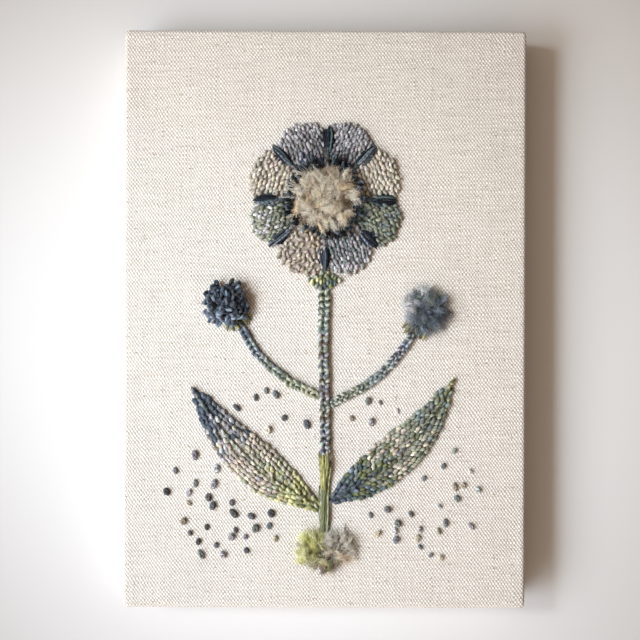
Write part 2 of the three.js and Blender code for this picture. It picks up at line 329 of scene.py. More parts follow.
def stray(piece, paths, radii, colours, n, length=(0.7, 2.2), thick=0.028, mat=1):
    """Loose fibres that stand off the yarn."""
    if n < 1:
        return
    s = RNG.integers(0, len(paths), n)
    k = RNG.integers(1, paths.shape[1] - 1, n)
    p, r = paths[s, k], radii[s, k]
    t = paths[s, k + 1] - paths[s, k - 1]
    t /= np.maximum(np.linalg.norm(t, axis=1, keepdims=True), 1e-9)
    a = np.cross(t, [0, 0, 1.0])
    a /= np.maximum(np.linalg.norm(a, axis=1, keepdims=True), 1e-9)
    phi = RNG.uniform(0.0, np.pi, n)
    out = a * np.cos(phi)[:, None] + np.array([0, 0, 1.0]) * np.sin(phi)[:, None]
    go = out + t * RNG.normal(0, 0.9, (n, 1)) + RNG.normal(0, 0.35, (n, 3))
    go /= np.linalg.norm(go, axis=1, keepdims=True)
    L = RNG.uniform(*length, n)
    u = np.linspace(0, 1, 4)
    curl = np.cross(go, t)
    q = (p + out * (r * 0.7)[:, None])[:, None] + go[:, None] * (L[:, None] * u)[..., None] + curl[:, None] * (RNG.normal(0, 0.35, (n, 1)) * L[:, None] * u**2)[..., None]
    q[..., 2] = np.maximum(q[..., 2], FACE + 0.06)
    c = np.clip(colours[s] * RNG.uniform(0.9, 1.5, (n, 1)), 0, 0.9)
    ref = np.cross(go, RNG.normal(0, 1, (n, 3)))
    ref /= np.linalg.norm(ref, axis=1, keepdims=True)
    piece.strands(q, thick * (1 - 0.6 * u)[None], c, ref=ref, sides=3, mat=mat)


def pad(piece, loop, colour, crown, margin=0.45, cell=0.8, soft=2.2, gap_shade=0.6):
    """The padding and crossed threads beneath an area of stitches, its yarn colour dimmed as painted shade so that the
    gaps between stitches read dark.
    """
    lo, hi = loop.min(0) - cell, loop.max(0) + cell
    nx, ny = (np.ceil((hi - lo) / cell)).astype(int)
    gx, gy = lo[0] + cell * np.arange(nx + 1), lo[1] + cell * np.arange(ny + 1)
    X, Y = np.meshgrid(gx, gy, indexing="ij")
    D = depth_in(np.stack([X.ravel(), Y.ravel()], 1), loop).reshape(X.shape)
    inside = np.minimum.reduce([D[:-1, :-1], D[1:, :-1], D[:-1, 1:], D[1:, 1:]]) > margin
    top = FACE + 0.1 + crown * (1 - np.exp(-np.maximum(D - margin, 0) / soft))
    V = np.concatenate([np.stack([X, Y, top], -1).reshape(-1, 3), np.stack([X, Y, np.full(X.shape, FACE + 0.02)], -1).reshape(-1, 3)])
    half = (nx + 1) * (ny + 1)
    at = lambda i, j: i * (ny + 1) + j
    i, j = np.nonzero(inside)
    up = np.stack([at(i, j), at(i + 1, j), at(i + 1, j + 1), at(i, j + 1)], 1)
    quads = [up, up[:, ::-1] + half]
    grid = np.zeros((nx + 2, ny + 2), bool)
    grid[1:-1, 1:-1] = inside
    # walls where the next cell is empty: its step, then the wall's two corners
    for di, dj, c0, c1 in ((-1, 0, (0, 1), (0, 0)), (1, 0, (1, 0), (1, 1)), (0, -1, (0, 0), (1, 0)), (0, 1, (1, 1), (0, 1))):
        wi, wj = np.nonzero(inside & ~grid[1 + di : nx + 1 + di, 1 + dj : ny + 1 + dj])
        a, b = at(wi + c0[0], wj + c0[1]), at(wi + c1[0], wj + c1[1])
        quads.append(np.stack([a + half, b + half, b, a], 1))
    q = np.concatenate(quads)
    used = np.unique(q)
    remap = np.full(2 * half, -1)
    remap[used] = np.arange(len(used))
    c = colour(V[used, :2]) if callable(colour) else np.broadcast_to(colour, (len(used), 3))
    # painted shade: the padding's colour is dimmed so the gaps between stitches look shaded
    piece.shell(V[used], remap[q], c * gap_shade)


def fill(piece, loop, axis, kind, tint, crown=1.6, across=1.5, along=2.5, radius=0.76, fuzz=3.0, soft=2.2, inside=0.55):
    """Fills an outline with brick-laid rows of grains that lie along or across the axis, or are sown anyhow."""
    axis = np.asarray(axis, float) / np.linalg.norm(axis)
    perp = np.array([-axis[1], axis[0]])
    mid = loop.mean(0)
    rel = loop - mid
    ra, rb = np.abs(rel @ axis).max() + 3, np.abs(rel @ perp).max() + 3
    if kind == "seed":
        tries = RNG.uniform([-ra, -rb], [ra, rb], (6000, 2))
        tries = mid + tries[:, :1] * axis + tries[:, 1:] * perp
        tries = tries[depth_in(tries, loop) > inside + 0.2]
        kept = []
        for p in tries:
            if all((p[0] - k[0]) ** 2 + (p[1] - k[1]) ** 2 > (1.1 * across) ** 2 for k in kept):
                kept.append(p)
        c = np.array(kept)
        a = RNG.normal(0, 0.8, len(c))
        d = np.cos(a)[:, None] * axis + np.sin(a)[:, None] * perp
    else:
        nb, na = int(max(ra, rb) / across) + 1, int(max(ra, rb) / along) + 1
        k, j = np.meshgrid(np.arange(-nb, nb + 1), np.arange(-na, na + 1), indexing="ij")
        b = k * across + 0 * j
        a = (j + 0.5 * (k % 2)) * along
        if kind == "brick":
            c = mid + a.reshape(-1, 1) * perp + b.reshape(-1, 1) * axis
            d = np.broadcast_to(perp, c.shape)
        else:
            c = mid + a.reshape(-1, 1) * axis + b.reshape(-1, 1) * perp
            lean = {"rib": 0.0, "twist": 0.48}[kind] * np.where(k.ravel() % 2 == 0, 1, -1)
            d = np.cos(lean)[:, None] * axis + np.sin(lean)[:, None] * perp
        # hand-laid rows wander
        w = RNG.uniform(0, 6.28, 4)
        c = c + 0.34 * np.stack([np.sin(0.5 * c[:, 1] + w[0]) + 0.6 * np.sin(0.95 * c[:, 0] + w[1]), np.sin(0.45 * c[:, 0] + w[2]) + 0.6 * np.sin(0.9 * c[:, 1] + w[3])], 1)
        c = c + RNG.normal(0, 0.18, c.shape)
        keep = depth_in(c, loop) > inside
        c, d = c[keep], d[keep]
    lay_grains(piece, loop, c, d, tint, crown, soft, along * 1.14, radius, fuzz)


def lay_grains(piece, loop, c, d, tint, crown, soft, length, radius, fuzz, gap_shade=0.6):
    """Padding beneath an outline, its colour dimmed as painted shade, then a grain at each place, as high as the
    padding there.
    """
    height = FACE + 0.15 + crown * (1 - np.exp(-np.maximum(depth_in(c, loop) - 0.3, 0) / soft))
    pad(piece, loop, tint, crown, soft=soft, gap_shade=gap_shade)
    colours = jitter_colour(tint(c), len(c), 0.15)
    other = np.where(RNG.random((len(c), 1)) < 0.45, jitter_colour(tint(c), len(c), 0.2), colours * np.exp(RNG.normal(-0.08, 0.24, (len(c), 1))))
    grains(piece, c, d, height, colours, np.clip(other, 0.004, 0.9), length=length, radius=radius, fuzz=fuzz)


def satin(piece, centre, axis, length, width, colours, z, crown=1.0, radius=0.41, fuzz=6):
    """A spindle of straight satin stitches, longest in the middle, side by side and a little across each other."""
    axis = np.asarray(axis, float) / np.linalg.norm(axis)
    perp = np.array([-axis[1], axis[0]])
    count = len(colours)
    b = np.linspace(-1, 1, count) + RNG.normal(0, 0.06, count)
    half = 0.5 * length * (1 - 0.5 * np.abs(b).clip(0, 1) ** 2) * RNG.uniform(0.86, 1.06, count)
    t = np.linspace(-1, 1, 17)
    off = b * (width / 2 - radius)
    squeeze = 1 - 0.5 * np.abs(t) ** 2.5
    slide = RNG.normal(0, 0.35, count)
    cross = RNG.normal(0, 0.05, count)
    across = off[:, None] * squeeze[None] + (cross * half)[:, None] * t[None] + 0.12 * np.sin(4.2 * t[None] + 6.28 * b[:, None]) * squeeze[None]
    xy = np.asarray(centre)[None, None] + axis * (half[:, None] * t + slide[:, None])[..., None] + perp * across[..., None]
    zz = z + crown * (1 - b[:, None] ** 2) * (1 - 0.45 * t[None] ** 2) - 1.1 * np.abs(t[None]) ** 6 + RNG.normal(0, 0.26, (count, 1))
    paths = np.concatenate([xy, zz[..., None]], 2)
    r = radius * RNG.uniform(0.82, 1.16, (count, 1)) * (1 - 0.45 * np.abs(t[None]) ** 4)
    piece.strands(paths, r, colours, sides=8, ply=0.19, lay=1.15, groove_shade=0.5, other=np.clip(colours * np.exp(RNG.normal(0.5, 0.45, (count, 1))), 0.004, 0.9))
    stray(piece, paths, r, colours, count * fuzz)


def chain(piece, line, pitch, width, radius, dark, light, z=0.9, fuzz=7, tone=(1.35, 1.95)):
    """Chain stitch: each loop is caught by the next, so that the legs lie in a run of Vs."""
    q, tan, length = catmull(line, 600)
    n = int(length / pitch)
    w = width / 2 - radius
    # one loop as a closed teardrop: across (in w), along (in pitch), height
    shape = dict(
        across=[-0.16, -0.55, -0.95, -1.0, -0.72, -0.25, 0.25, 0.72, 1.0, 0.95, 0.55, 0.16],
        along=[-0.28, 0.02, 0.42, 0.82, 1.1, 1.22, 1.22, 1.1, 0.82, 0.42, 0.02, -0.28],
        height=[-0.75, -0.15, 0.3, 0.5, 0.42, 0.05, 0.05, 0.42, 0.5, 0.3, -0.15, -0.75],
    )
    u = np.linspace(0, 11, 25)
    X, Y, Z = (np.interp(u, np.arange(12), shape[k]) for k in ("across", "along", "height"))
    X, Y, Z = (np.convolve(np.pad(a, 1, mode="edge"), [0.25, 0.5, 0.25], "valid") for a in (X, Y, Z))
    start = (np.arange(n) + 0.25) * pitch
    at = start[:, None] + Y[None] * pitch
    i = np.clip(at / length, 0, 1) * (len(q) - 1)
    base = np.stack([np.interp(i, np.arange(len(q)), q[:, k]) for k in range(2)], -1)
    tt = np.stack([np.interp(i, np.arange(len(q)), tan[:, k]) for k in range(2)], -1)
    over = np.maximum(at - length, 0) + np.minimum(at, 0)
    nn = np.stack([-tt[..., 1], tt[..., 0]], -1)
    wob = RNG.uniform(0.9, 1.1, (n, 1))
    xy = base + tt * over[..., None] + nn * (X[None] * w * wob + RNG.normal(0, 0.12, (n, 1)))[..., None]
    zz = FACE + z + radius * 0.35 + Z[None] * radius * 1.1 + RNG.normal(0, 0.06, (n, 1))
    paths = np.concatenate([xy, np.broadcast_to(zz, xy.shape[:2])[..., None]], 2)
    r = radius * RNG.uniform(0.92, 1.08, (n, 1)) * np.ones((1, 25))
    dull = lambda v: 0.7 * v + 0.3 * v.mean(1, keepdims=True)
    c = jitter_colour(dull(ramp(dark, start / length, 0.8)) * tone[0], n, 0.2)
    piece.strands(paths, r, c, sides=9, ply=0.15, lay=0.78, groove_shade=0.42, other=bounded(jitter_colour(dull(ramp(light, start / length, 0.9)) * tone[1], n, 0.2), 0.55))
    stray(piece, paths, r, c, n * fuzz)


def knots(piece, at, size, colours):
    """French knots: the yarn wound twice about the needle, its end drawn down through the middle."""
    S = len(at)
    u = np.linspace(0, 1, 36)
    ang = 2 * np.pi * 2.6 * u[None] + RNG.uniform(0, 6.28, (S, 1))
    wrap = np.interp(u, [0, 0.08, 0.42, 0.56, 0.88, 1.0], [0.5, 0.74, 0.74, 0.64, 0.34, 0.02])[None]
    rise = np.interp(u, [0, 0.1, 0.42, 0.68, 0.88, 1.0], [-0.12, 0.16, 0.22, 0.5, 0.58, 0.2])[None] * size[:, None]
    squash = RNG.uniform(0.62, 0.9, (S, 1))
    lean = RNG.normal(0, 0.4, (S, 1))
    rad = size[:, None] * 0.5 * wrap
    x, y = rad * np.cos(ang) * squash, rad * np.sin(ang) / squash
    X, Y = x * np.cos(lean) - y * np.sin(lean), x * np.sin(lean) + y * np.cos(lean)
    tilt = RNG.normal(0, 0.22, (S, 2))
    z = FACE + rise + (X * tilt[:, :1] + Y * tilt[:, 1:]) * np.minimum(1, 6 * u)[None]
    paths = np.stack([at[:, :1] + X, at[:, 1:] + Y, z], -1)
    r = size[:, None] * RNG.uniform(0.15, 0.185, (S, 1)) * np.ones((1, 36))
    # painted shade: the end drawn down through the middle of the knot is darkened
    c = colours[:, None] * np.interp(u, [0, 0.85, 1.0], [1, 1, 0.45])[None, :, None]
    piece.strands(paths, r, c, sides=8, ply=0.16, lay=1.3, groove_shade=0.5, other=np.clip(colours * np.exp(RNG.normal(0.2, 0.35, (S, 1))), 0.004, 0.9))
    stray(piece, paths, r, colours, S * 9, length=(0.5, 1.3))


def loops(piece, root, lean, height, spread, radius, colours, fuzz=6):
    """Upright loops of yarn, each in its own plane."""
    S = len(root)
    u = np.linspace(0, 1, 15)
    a = RNG.uniform(0, np.pi, S)
    across = np.stack([np.cos(a), np.sin(a), 0 * a], 1)
    open_ = np.sin(np.pi * u) ** 0.8
    side = np.interp(u, [0, 0.25, 0.5, 0.75, 1], [-0.3, -1.0, 0.0, 1.0, 0.3])
    side = np.convolve(np.pad(side, 1, mode="edge"), [0.25, 0.5, 0.25], "valid")
    up = np.array([0, 0, 1.0]) + lean
    up /= np.linalg.norm(up, axis=1, keepdims=True)
    paths = root[:, None] + up[:, None] * (height[:, None] * open_)[..., None] + across[:, None] * (spread * side)[None, :, None]
    sag = RNG.normal(0, 0.25, (S, 1, 3)) * (u * (1 - u) * 4)[None, :, None]
    paths = paths + sag
    ref = np.cross(up, across)
    ref /= np.linalg.norm(ref, axis=1, keepdims=True)
    r = radius * RNG.uniform(0.88, 1.12, (S, 1)) * np.ones((1, 15))
    # painted shade: each loop is darker towards its feet, at the cloth
    c = colours[:, None] * (0.55 + 0.45 * open_)[None, :, None]
    piece.strands(paths, r, c, ref=ref, sides=7, ply=0.14, lay=1.5, groove_shade=0.4, other=np.clip(colours * np.exp(RNG.normal(0.1, 0.3, (S, 1))), 0.004, 0.9))
    stray(piece, paths, r, colours, int(S * fuzz), length=(0.6, 1.8))


def fleece(piece, root, go, length, colours, fibres, clump=0.55, tip=0.9, crimp=0.22, wave=2.6, curl=0.5, droop=0.35, thick=0.05, points=7, vary=0.16, deep=0.62, floor=FACE + 0.1):
    """Locks of unspun wool: each lock is a bunch of crimped fibres that share a course and part at the tip."""
    S = len(root)
    u = np.linspace(0, 1, points)
    lock = np.repeat(np.arange(S), fibres)
    n = len(lock)
    go = go / np.linalg.norm(go, axis=1, keepdims=True)
    a = np.cross(go, [0.31, 0.17, 0.93])
    a /= np.maximum(np.linalg.norm(a, axis=1, keepdims=True), 1e-9)
    b = np.cross(go, a)
    L = length[lock] * RNG.uniform(0.62, 1.12, n)
    swing = RNG.normal(0, 0.32, (S, 2))
    o = RNG.normal(0, 1, (n, 2))
    phase = RNG.uniform(0, 6.28, S)[lock] + RNG.normal(0, 0.8, n)
    turn = L[:, None] * u / wave * 2 * np.pi + phase[:, None]
    amp = crimp * RNG.uniform(0.6, 1.4, (n, 1)) * np.minimum(1, 3 * u)
    spread = clump * (1 - 0.35 * u) + tip * u**2
    fly = RNG.normal(0, 1, (n, 2)) * (RNG.random((n, 1)) < 0.15) * 1.1
    # the lock as a whole waves to and fro
    start = RNG.uniform(0, 6.28, S)[lock][:, None]
    sway = start + length[lock][:, None] * u / RNG.uniform(3.4, 5.6, S)[lock][:, None] * 2 * np.pi
    big = curl * RNG.uniform(0.5, 1.3, S)[lock][:, None] * np.minimum(1, 2 * u)
    ca = o[:, :1] * spread + big * (np.sin(sway) - np.sin(start)) + swing[lock, :1] * L[:, None] * u**2 + amp * np.cos(turn) + fly[:, :1] * u**1.5
    cb = o[:, 1:] * spread + big * (np.cos(sway) - np.cos(start)) + swing[lock, 1:] * L[:, None] * u**2 + amp * np.sin(turn) + fly[:, 1:] * u**1.5
    p = root[lock][:, None] + go[lock][:, None] * (L[:, None] * u)[..., None] + a[lock][:, None] * ca[..., None] + b[lock][:, None] * cb[..., None]
    p[..., 2] -= (droop * L)[:, None] * u**2
    p[..., 2] = np.maximum(p[..., 2], floor + RNG.uniform(0, 0.5, (n, 1)))
    # painted shade: each fibre is darkened towards its root, by the factor deep, where the lock is dense
    c = jitter_colour(colours[lock], n, vary, 0.02)[:, None] * (deep + (1 - deep) * u**0.6)[None, :, None]
    ref = np.cross(go[lock], RNG.normal(0, 1, (n, 3)))
    ref /= np.linalg.norm(ref, axis=1, keepdims=True)
    r = thick * RNG.uniform(0.7, 1.3, (n, 1)) * (1 - 0.55 * u**2)[None]
    piece.strands(p, r, c, ref=ref, sides=3, mat=1)


def mound(piece, x, y, wide, tall, z0, height, colour, lumps=0.12, steps=48, rings=12):
    """The dense heart of a tuft, a lumpy closed dome."""
    a = np.arange(steps) * 2 * np.pi / steps
    f = np.linspace(0, np.pi / 2, rings + 1)[:-1]
    ph = RNG.uniform(0, 6.28, 6)
    noise = lambda A, F: 1 + lumps * (np.sin(3 * A + ph[0] + 2 * F) * 0.5 + np.sin(5 * A + ph[1] - 3 * F) * 0.4 + np.sin(8 * A + 6 * F + ph[2]) * 0.35 + np.sin(11 * A - 9 * F + ph[3]) * 0.25)
    A, F = np.meshgrid(a, f, indexing="ij")
    k = noise(A, F)
    V = np.stack([x + wide * np.cos(A) * np.cos(F) * k, y + tall * np.sin(A) * np.cos(F) * k, z0 + height * np.sin(F) * k], -1).transpose(1, 0, 2).reshape(-1, 3)
    V = np.vstack([V, [[x, y, z0 + height]], [[x, y, z0]]])
    apex, foot = len(V) - 2, len(V) - 1
    q = []
    for r in range(rings - 1):
        i = np.arange(steps)
        j = (i + 1) % steps
        q.append(np.stack([r * steps + i, r * steps + j, (r + 1) * steps + j, (r + 1) * steps + i], 1))
    i = np.arange(steps)
    j = (i + 1) % steps
    last = (rings - 1) * steps
    half = np.arange(0, steps, 2)
    # caps as quads: two steps of the ring to the middle
    q.append(np.stack([last + half, last + (half + 1) % steps, last + (half + 2) % steps, np.full(len(half), apex)], 1))
    q.append(np.stack([(half + 2) % steps, (half + 1) % steps, half, np.full(len(half), foot)], 1))
    c = colour(V[:, :2]) if callable(colour) else np.broadcast_to(colour, (len(V), 3))
    piece.shell(V, np.concatenate(q), c)


# ---- materials ----------------------------------------------------------------
def new_material(name):
    m = bpy.data.materials.new(name)
    m.use_nodes = True
    nt = m.node_tree
    bsdf = nt.nodes["Principled BSDF"]
    return m, nt, bsdf


def node(nt, kind, **sets):
    n = nt.nodes.new(kind)
    for k, v in sets.items():
        if k.startswith("i_"):
            key = k[2:]
            n.inputs[int(key) if key.isdigit() else key.replace("_", " ")].default_value = v
        else:
            setattr(n, k, v)
    return n


def math_node(nt, op, a, b=None, clamp=False):
    n = nt.nodes.new("ShaderNodeMath")
    n.operation = op
    n.use_clamp = clamp
    for k, v in enumerate((a, b)):
        if v is None:
            continue
        if hasattr(v, "is_linked"):
            nt.links.new(v, n.inputs[k])
        else:
            n.inputs[k].default_value = v
    return n.outputs[0]


def mix_colour(nt, blend, fac, a, b):
    n = nt.nodes.new("ShaderNodeMix")
    n.data_type = "RGBA"
    n.blend_type = blend
    for key, v in (("Factor", fac), ("A", a), ("B", b)):
        sock = next(s for s in n.inputs if s.name == key and (s.type == "RGBA" if key != "Factor" else s.type == "VALUE"))
        if hasattr(v, "is_linked"):
            nt.links.new(v, sock)
        else:
            sock.default_value = v if key == "Factor" else (*v, 1.0)
    return next(s for s in n.outputs if s.type == "RGBA")


def spread_value(nt, v, lo, hi, to_lo, to_hi):
    n = nt.nodes.new("ShaderNodeMapRange")
    nt.links.new(v, n.inputs["Value"])
    for k, x in (("From Min", lo), ("From Max", hi), ("To Min", to_lo), ("To Max", to_hi)):
        n.inputs[k].default_value = x
    return n.outputs["Result"]


def grey(nt, v):
    n = nt.nodes.new("ShaderNodeCombineColor")
    for k in range(3):
        nt.links.new(v, n.inputs[k])
    return n.outputs[0]


def wool_material():
    """Spun wool: the dyed colour of each strand, heathered, with fibres that follow the twist."""
    m, nt, bsdf = new_material("wool_yarn")
    colour = node(nt, "ShaderNodeVertexColor", layer_name="Col").outputs["Color"]
    uv = node(nt, "ShaderNodeUVMap", uv_map="Yarn").outputs["UV"]
    stretch = node(nt, "ShaderNodeMapping")
    stretch.inputs["Scale"].default_value = (0.55, 3.6, 1.0)
    nt.links.new(uv, stretch.inputs["Vector"])
    fibre = node(nt, "ShaderNodeTexNoise", noise_dimensions="2D", i_Scale=1.0, i_Detail=5.0, i_Roughness=0.66)
    nt.links.new(stretch.outputs[0], fibre.inputs["Vector"])
    where = node(nt, "ShaderNodeTexCoord").outputs["Object"]
    heather = node(nt, "ShaderNodeTexNoise", i_Scale=1500.0, i_Detail=3.0, i_Roughness=0.6)
    nt.links.new(where, heather.inputs["Vector"])
    k = math_node(nt, "MULTIPLY", spread_value(nt, fibre.outputs["Fac"], 0.28, 0.72, 0.58, 1.33), spread_value(nt, heather.outputs["Fac"], 0.25, 0.75, 0.8, 1.2))
    nt.links.new(mix_colour(nt, "MULTIPLY", 1.0, colour, grey(nt, k)), bsdf.inputs["Base Color"])
    bump = node(nt, "ShaderNodeBump", i_Strength=0.6, i_Distance=0.00012)
    nt.links.new(fibre.outputs["Fac"], bump.inputs["Height"])
    nt.links.new(bump.outputs[0], bsdf.inputs["Normal"])
    bsdf.inputs["Roughness"].default_value = 0.88
    bsdf.inputs["Specular IOR Level"].default_value = 0.14
    bsdf.inputs["Sheen Weight"].default_value = 0.09
    bsdf.inputs["Sheen Roughness"].default_value = 0.45
    return m


def fibre_material():
    """Single wool fibres, with a slight gloss along them."""
    m, nt, bsdf = new_material("wool_fibre")
    colour = node(nt, "ShaderNodeVertexColor", layer_name="Col").outputs["Color"]
    where = node(nt, "ShaderNodeTexCoord").outputs["Object"]
    tone = node(nt, "ShaderNodeTexNoise", i_Scale=700.0, i_Detail=2.0)
    nt.links.new(where, tone.inputs["Vector"])
    k = spread_value(nt, tone.outputs["Fac"], 0.3, 0.7, 0.85, 1.18)
    nt.links.new(mix_colour(nt, "MULTIPLY", 1.0, colour, grey(nt, k)), bsdf.inputs["Base Color"])
    bsdf.inputs["Roughness"].default_value = 0.7
    bsdf.inputs["Specular IOR Level"].default_value = 0.3
    bsdf.inputs["Sheen Weight"].default_value = 0.1
    return m


WARP, WEFT = 0.64, 0.872  # thread pitch across and up the cloth, mm


def canvas_material():
    """Unbleached cotton duck: a plain weave whose warp stands proud, with slubs and seed flecks, its colour darkened in
    the low parts of the weave as painted shade.
    """
    m, nt, bsdf = new_material("cotton_duck")
    uv = node(nt, "ShaderNodeUVMap", uv_map="Cloth").outputs["UV"]
    # threads wander a little
    wander = node(nt, "ShaderNodeTexNoise", noise_dimensions="2D", i_Scale=0.09, i_Detail=3.0, i_Roughness=0.55)
    nt.links.new(uv, wander.inputs["Vector"])
    shift = node(nt, "ShaderNodeVectorMath", operation="SUBTRACT")
    nt.links.new(wander.outputs["Color"], shift.inputs[0])
    shift.inputs[1].default_value = (0.5, 0.5, 0.5)
    gain = node(nt, "ShaderNodeVectorMath", operation="SCALE", i_Scale=1.6)
    nt.links.new(shift.outputs[0], gain.inputs[0])
    place = node(nt, "ShaderNodeVectorMath", operation="ADD")
    nt.links.new(uv, place.inputs[0])
    nt.links.new(gain.outputs[0], place.inputs[1])
    xyz = node(nt, "ShaderNodeSeparateXYZ")
    nt.links.new(place.outputs[0], xyz.inputs[0])
    # thread to thread differences: long thin streaks each way
    streak = []
    for scale in ((1.35, 0.05, 1.0), (0.05, 1.0, 1.0)):
        mp = node(nt, "ShaderNodeMapping")
        mp.inputs["Scale"].default_value = scale
        nt.links.new(uv, mp.inputs["Vector"])
        t = node(nt, "ShaderNodeTexNoise", noise_dimensions="2D", i_Scale=1.0, i_Detail=3.0, i_Roughness=0.7)
        nt.links.new(mp.outputs[0], t.inputs["Vector"])
        streak.append(t.outputs["Fac"])
    a = math_node(nt, "MULTIPLY", math_node(nt, "ADD", xyz.outputs[0], spread_value(nt, streak[0], 0.2, 0.8, -0.22, 0.22)), math.pi / WARP)
    b = math_node(nt, "MULTIPLY", math_node(nt, "ADD", xyz.outputs[1], spread_value(nt, streak[1], 0.2, 0.8, -0.3, 0.3)), math.pi / WEFT)
    lean = math_node(nt, "COSINE", math_node(nt, "ADD", a, b))
    rise = math_node(nt, "COSINE", math_node(nt, "SUBTRACT", a, b))
    weave = math_node(nt, "SUBTRACT", math_node(nt, "MULTIPLY", rise, 0.36), math_node(nt, "MULTIPLY", lean, 0.64))
    ridge = math_node(nt, "MULTIPLY", math_node(nt, "COSINE", math_node(nt, "MULTIPLY", b, 2.0)), -0.18)
    height = math_node(nt, "ADD", weave, ridge)
    uneven = math_node(nt, "ADD", spread_value(nt, streak[0], 0.2, 0.8, -0.09, 0.09), spread_value(nt, streak[1], 0.2, 0.8, -0.1, 0.1))
    blotch = node(nt, "ShaderNodeTexNoise", noise_dimensions="2D", i_Scale=0.5, i_Detail=4.0, i_Roughness=0.65)
    nt.links.new(uv, blotch.inputs["Vector"])
    uneven = math_node(nt, "ADD", uneven, spread_value(nt, blotch.outputs["Fac"], 0.25, 0.75, -0.06, 0.06))
    # painted shade: the colour darkens with the weave's height, more along one diagonal, as light falling across the
    # threads would shade it; the streaks and blotch added to it are the cloth's own unevenness
    tone = math_node(nt, "ADD", spread_value(nt, height, -1.0, 1.0, 0.0, 1.0), uneven, clamp=True)
    base = mix_colour(nt, "MIX", tone, tuple(linear((150, 140, 129))), tuple(linear((250, 246, 240))))
    # seed flecks: small dark bits of husk along the weft
    mp = node(nt, "ShaderNodeMapping")
    mp.inputs["Scale"].default_value = (0.28, 0.75, 1.0)
    nt.links.new(uv, mp.inputs["Vector"])
    vor = node(nt, "ShaderNodeTexVoronoi", voronoi_dimensions="2D", i_Scale=1.0)
    nt.links.new(mp.outputs[0], vor.inputs["Vector"])
    near = spread_value(nt, vor.outputs["Distance"], 0.1, 0.22, 1.0, 0.0)
    cell = node(nt, "ShaderNodeSeparateColor")
    nt.links.new(vor.outputs["Color"], cell.inputs[0])
    few = math_node(nt, "GREATER_THAN", cell.outputs[0], 0.9)
    fleck = math_node(nt, "MULTIPLY", math_node(nt, "MULTIPLY", near, few), spread_value(nt, cell.outputs[1], 0.0, 1.0, 0.12, 0.75), clamp=True)
    base = mix_colour(nt, "MIX", fleck, base, tuple(linear((128, 104, 76))))
    nt.links.new(base, bsdf.inputs["Base Color"])
    bump = node(nt, "ShaderNodeBump", i_Strength=0.55, i_Distance=0.00016)
    nt.links.new(math_node(nt, "ADD", height, math_node(nt, "MULTIPLY", uneven, 2.0)), bump.inputs["Height"])
    nt.links.new(bump.outputs[0], bsdf.inputs["Normal"])
    bsdf.inputs["Roughness"].default_value = 0.93
    bsdf.inputs["Specular IOR Level"].default_value = 0.2
    bsdf.inputs["Sheen Weight"].default_value = 0.08
    return m


def pine_material(name, turn):
    """Planed pine with its grain along the bar."""
    m, nt, bsdf = new_material(name)
    where = node(nt, "ShaderNodeTexCoord").outputs["Object"]
    mp = node(nt, "ShaderNodeMapping")
    mp.inputs["Rotation"].default_value = (0.05, 0.07, turn)
    mp.inputs["Scale"].default_value = (8.0, 150.0, 150.0)
    nt.links.new(where, mp.inputs["Vector"])
    warp = node(nt, "ShaderNodeTexNoise", i_Scale=0.6, i_Detail=3.0, i_Distortion=0.6)
    nt.links.new(mp.outputs[0], warp.inputs["Vector"])
    rings = node(nt, "ShaderNodeTexWave", wave_type="BANDS", bands_direction="Y", i_Scale=0.55, i_Distortion=5.0, i_Detail=3.0)
    nt.links.new(mp.outputs[0], rings.inputs["Vector"])
    fine = node(nt, "ShaderNodeMapping")
    fine.inputs["Rotation"].default_value = (0, 0, turn)
    fine.inputs["Scale"].default_value = (60.0, 2600.0, 2600.0)
    nt.links.new(where, fine.inputs["Vector"])
    pores = node(nt, "ShaderNodeTexNoise", i_Scale=1.0, i_Detail=3.0)
    nt.links.new(fine.outputs[0], pores.inputs["Vector"])
    tone = math_node(nt, "ADD", spread_value(nt, rings.outputs["Fac"], 0.0, 1.0, 0.0, 0.6), spread_value(nt, warp.outputs["Fac"], 0.3, 0.7, 0.0, 0.4), clamp=True)
    base = mix_colour(nt, "MIX", tone, tuple(linear((222, 190, 142))), tuple(linear((190, 146, 92))))
    base = mix_colour(nt, "MULTIPLY", 1.0, base, grey(nt, spread_value(nt, pores.outputs["Fac"], 0.3, 0.7, 0.88, 1.06)))
    nt.links.new(base, bsdf.inputs["Base Color"])
    bump = node(nt, "ShaderNodeBump", i_Strength=0.3, i_Distance=0.0001)
    nt.links.new(pores.outputs["Fac"], bump.inputs["Height"])
    nt.links.new(bump.outputs[0], bsdf.inputs["Normal"])
    bsdf.inputs["Roughness"].default_value = 0.62
    return m


WOOL, FIBRE, DUCK = wool_material(), fibre_material(), canvas_material()
WOOLS = [WOOL, FIBRE]

# ---- canvas ---------------------------------------------------------------------


def spaced(half, fine_len, fine, coarse):
    """Grid lines from -half to half, close together near both ends where the corners fold."""
    k = int(round(fine_len / fine))
    end = np.linspace(half - fine_len, half, k + 1)
    m = int(round(2 * (half - fine_len) / coarse))
    return np.concatenate([-end[::-1], np.linspace(-(half - fine_len), half - fine_len, m + 1)[1:-1], end])


def ripple(x, y):
    """The slight unevenness of stretched cloth, in mm."""
    return (
        0.10 * np.sin(x / 17.0 + 0.8 * np.sin(y / 31.0)) * np.sin(y / 23.0 + 1.1)
        + 0.07 * np.sin(x / 7.3 + y / 11.0 + 0.6)
        + 0.05 * np.sin(y / 5.9 - x / 13.0 + 2.0)
    )


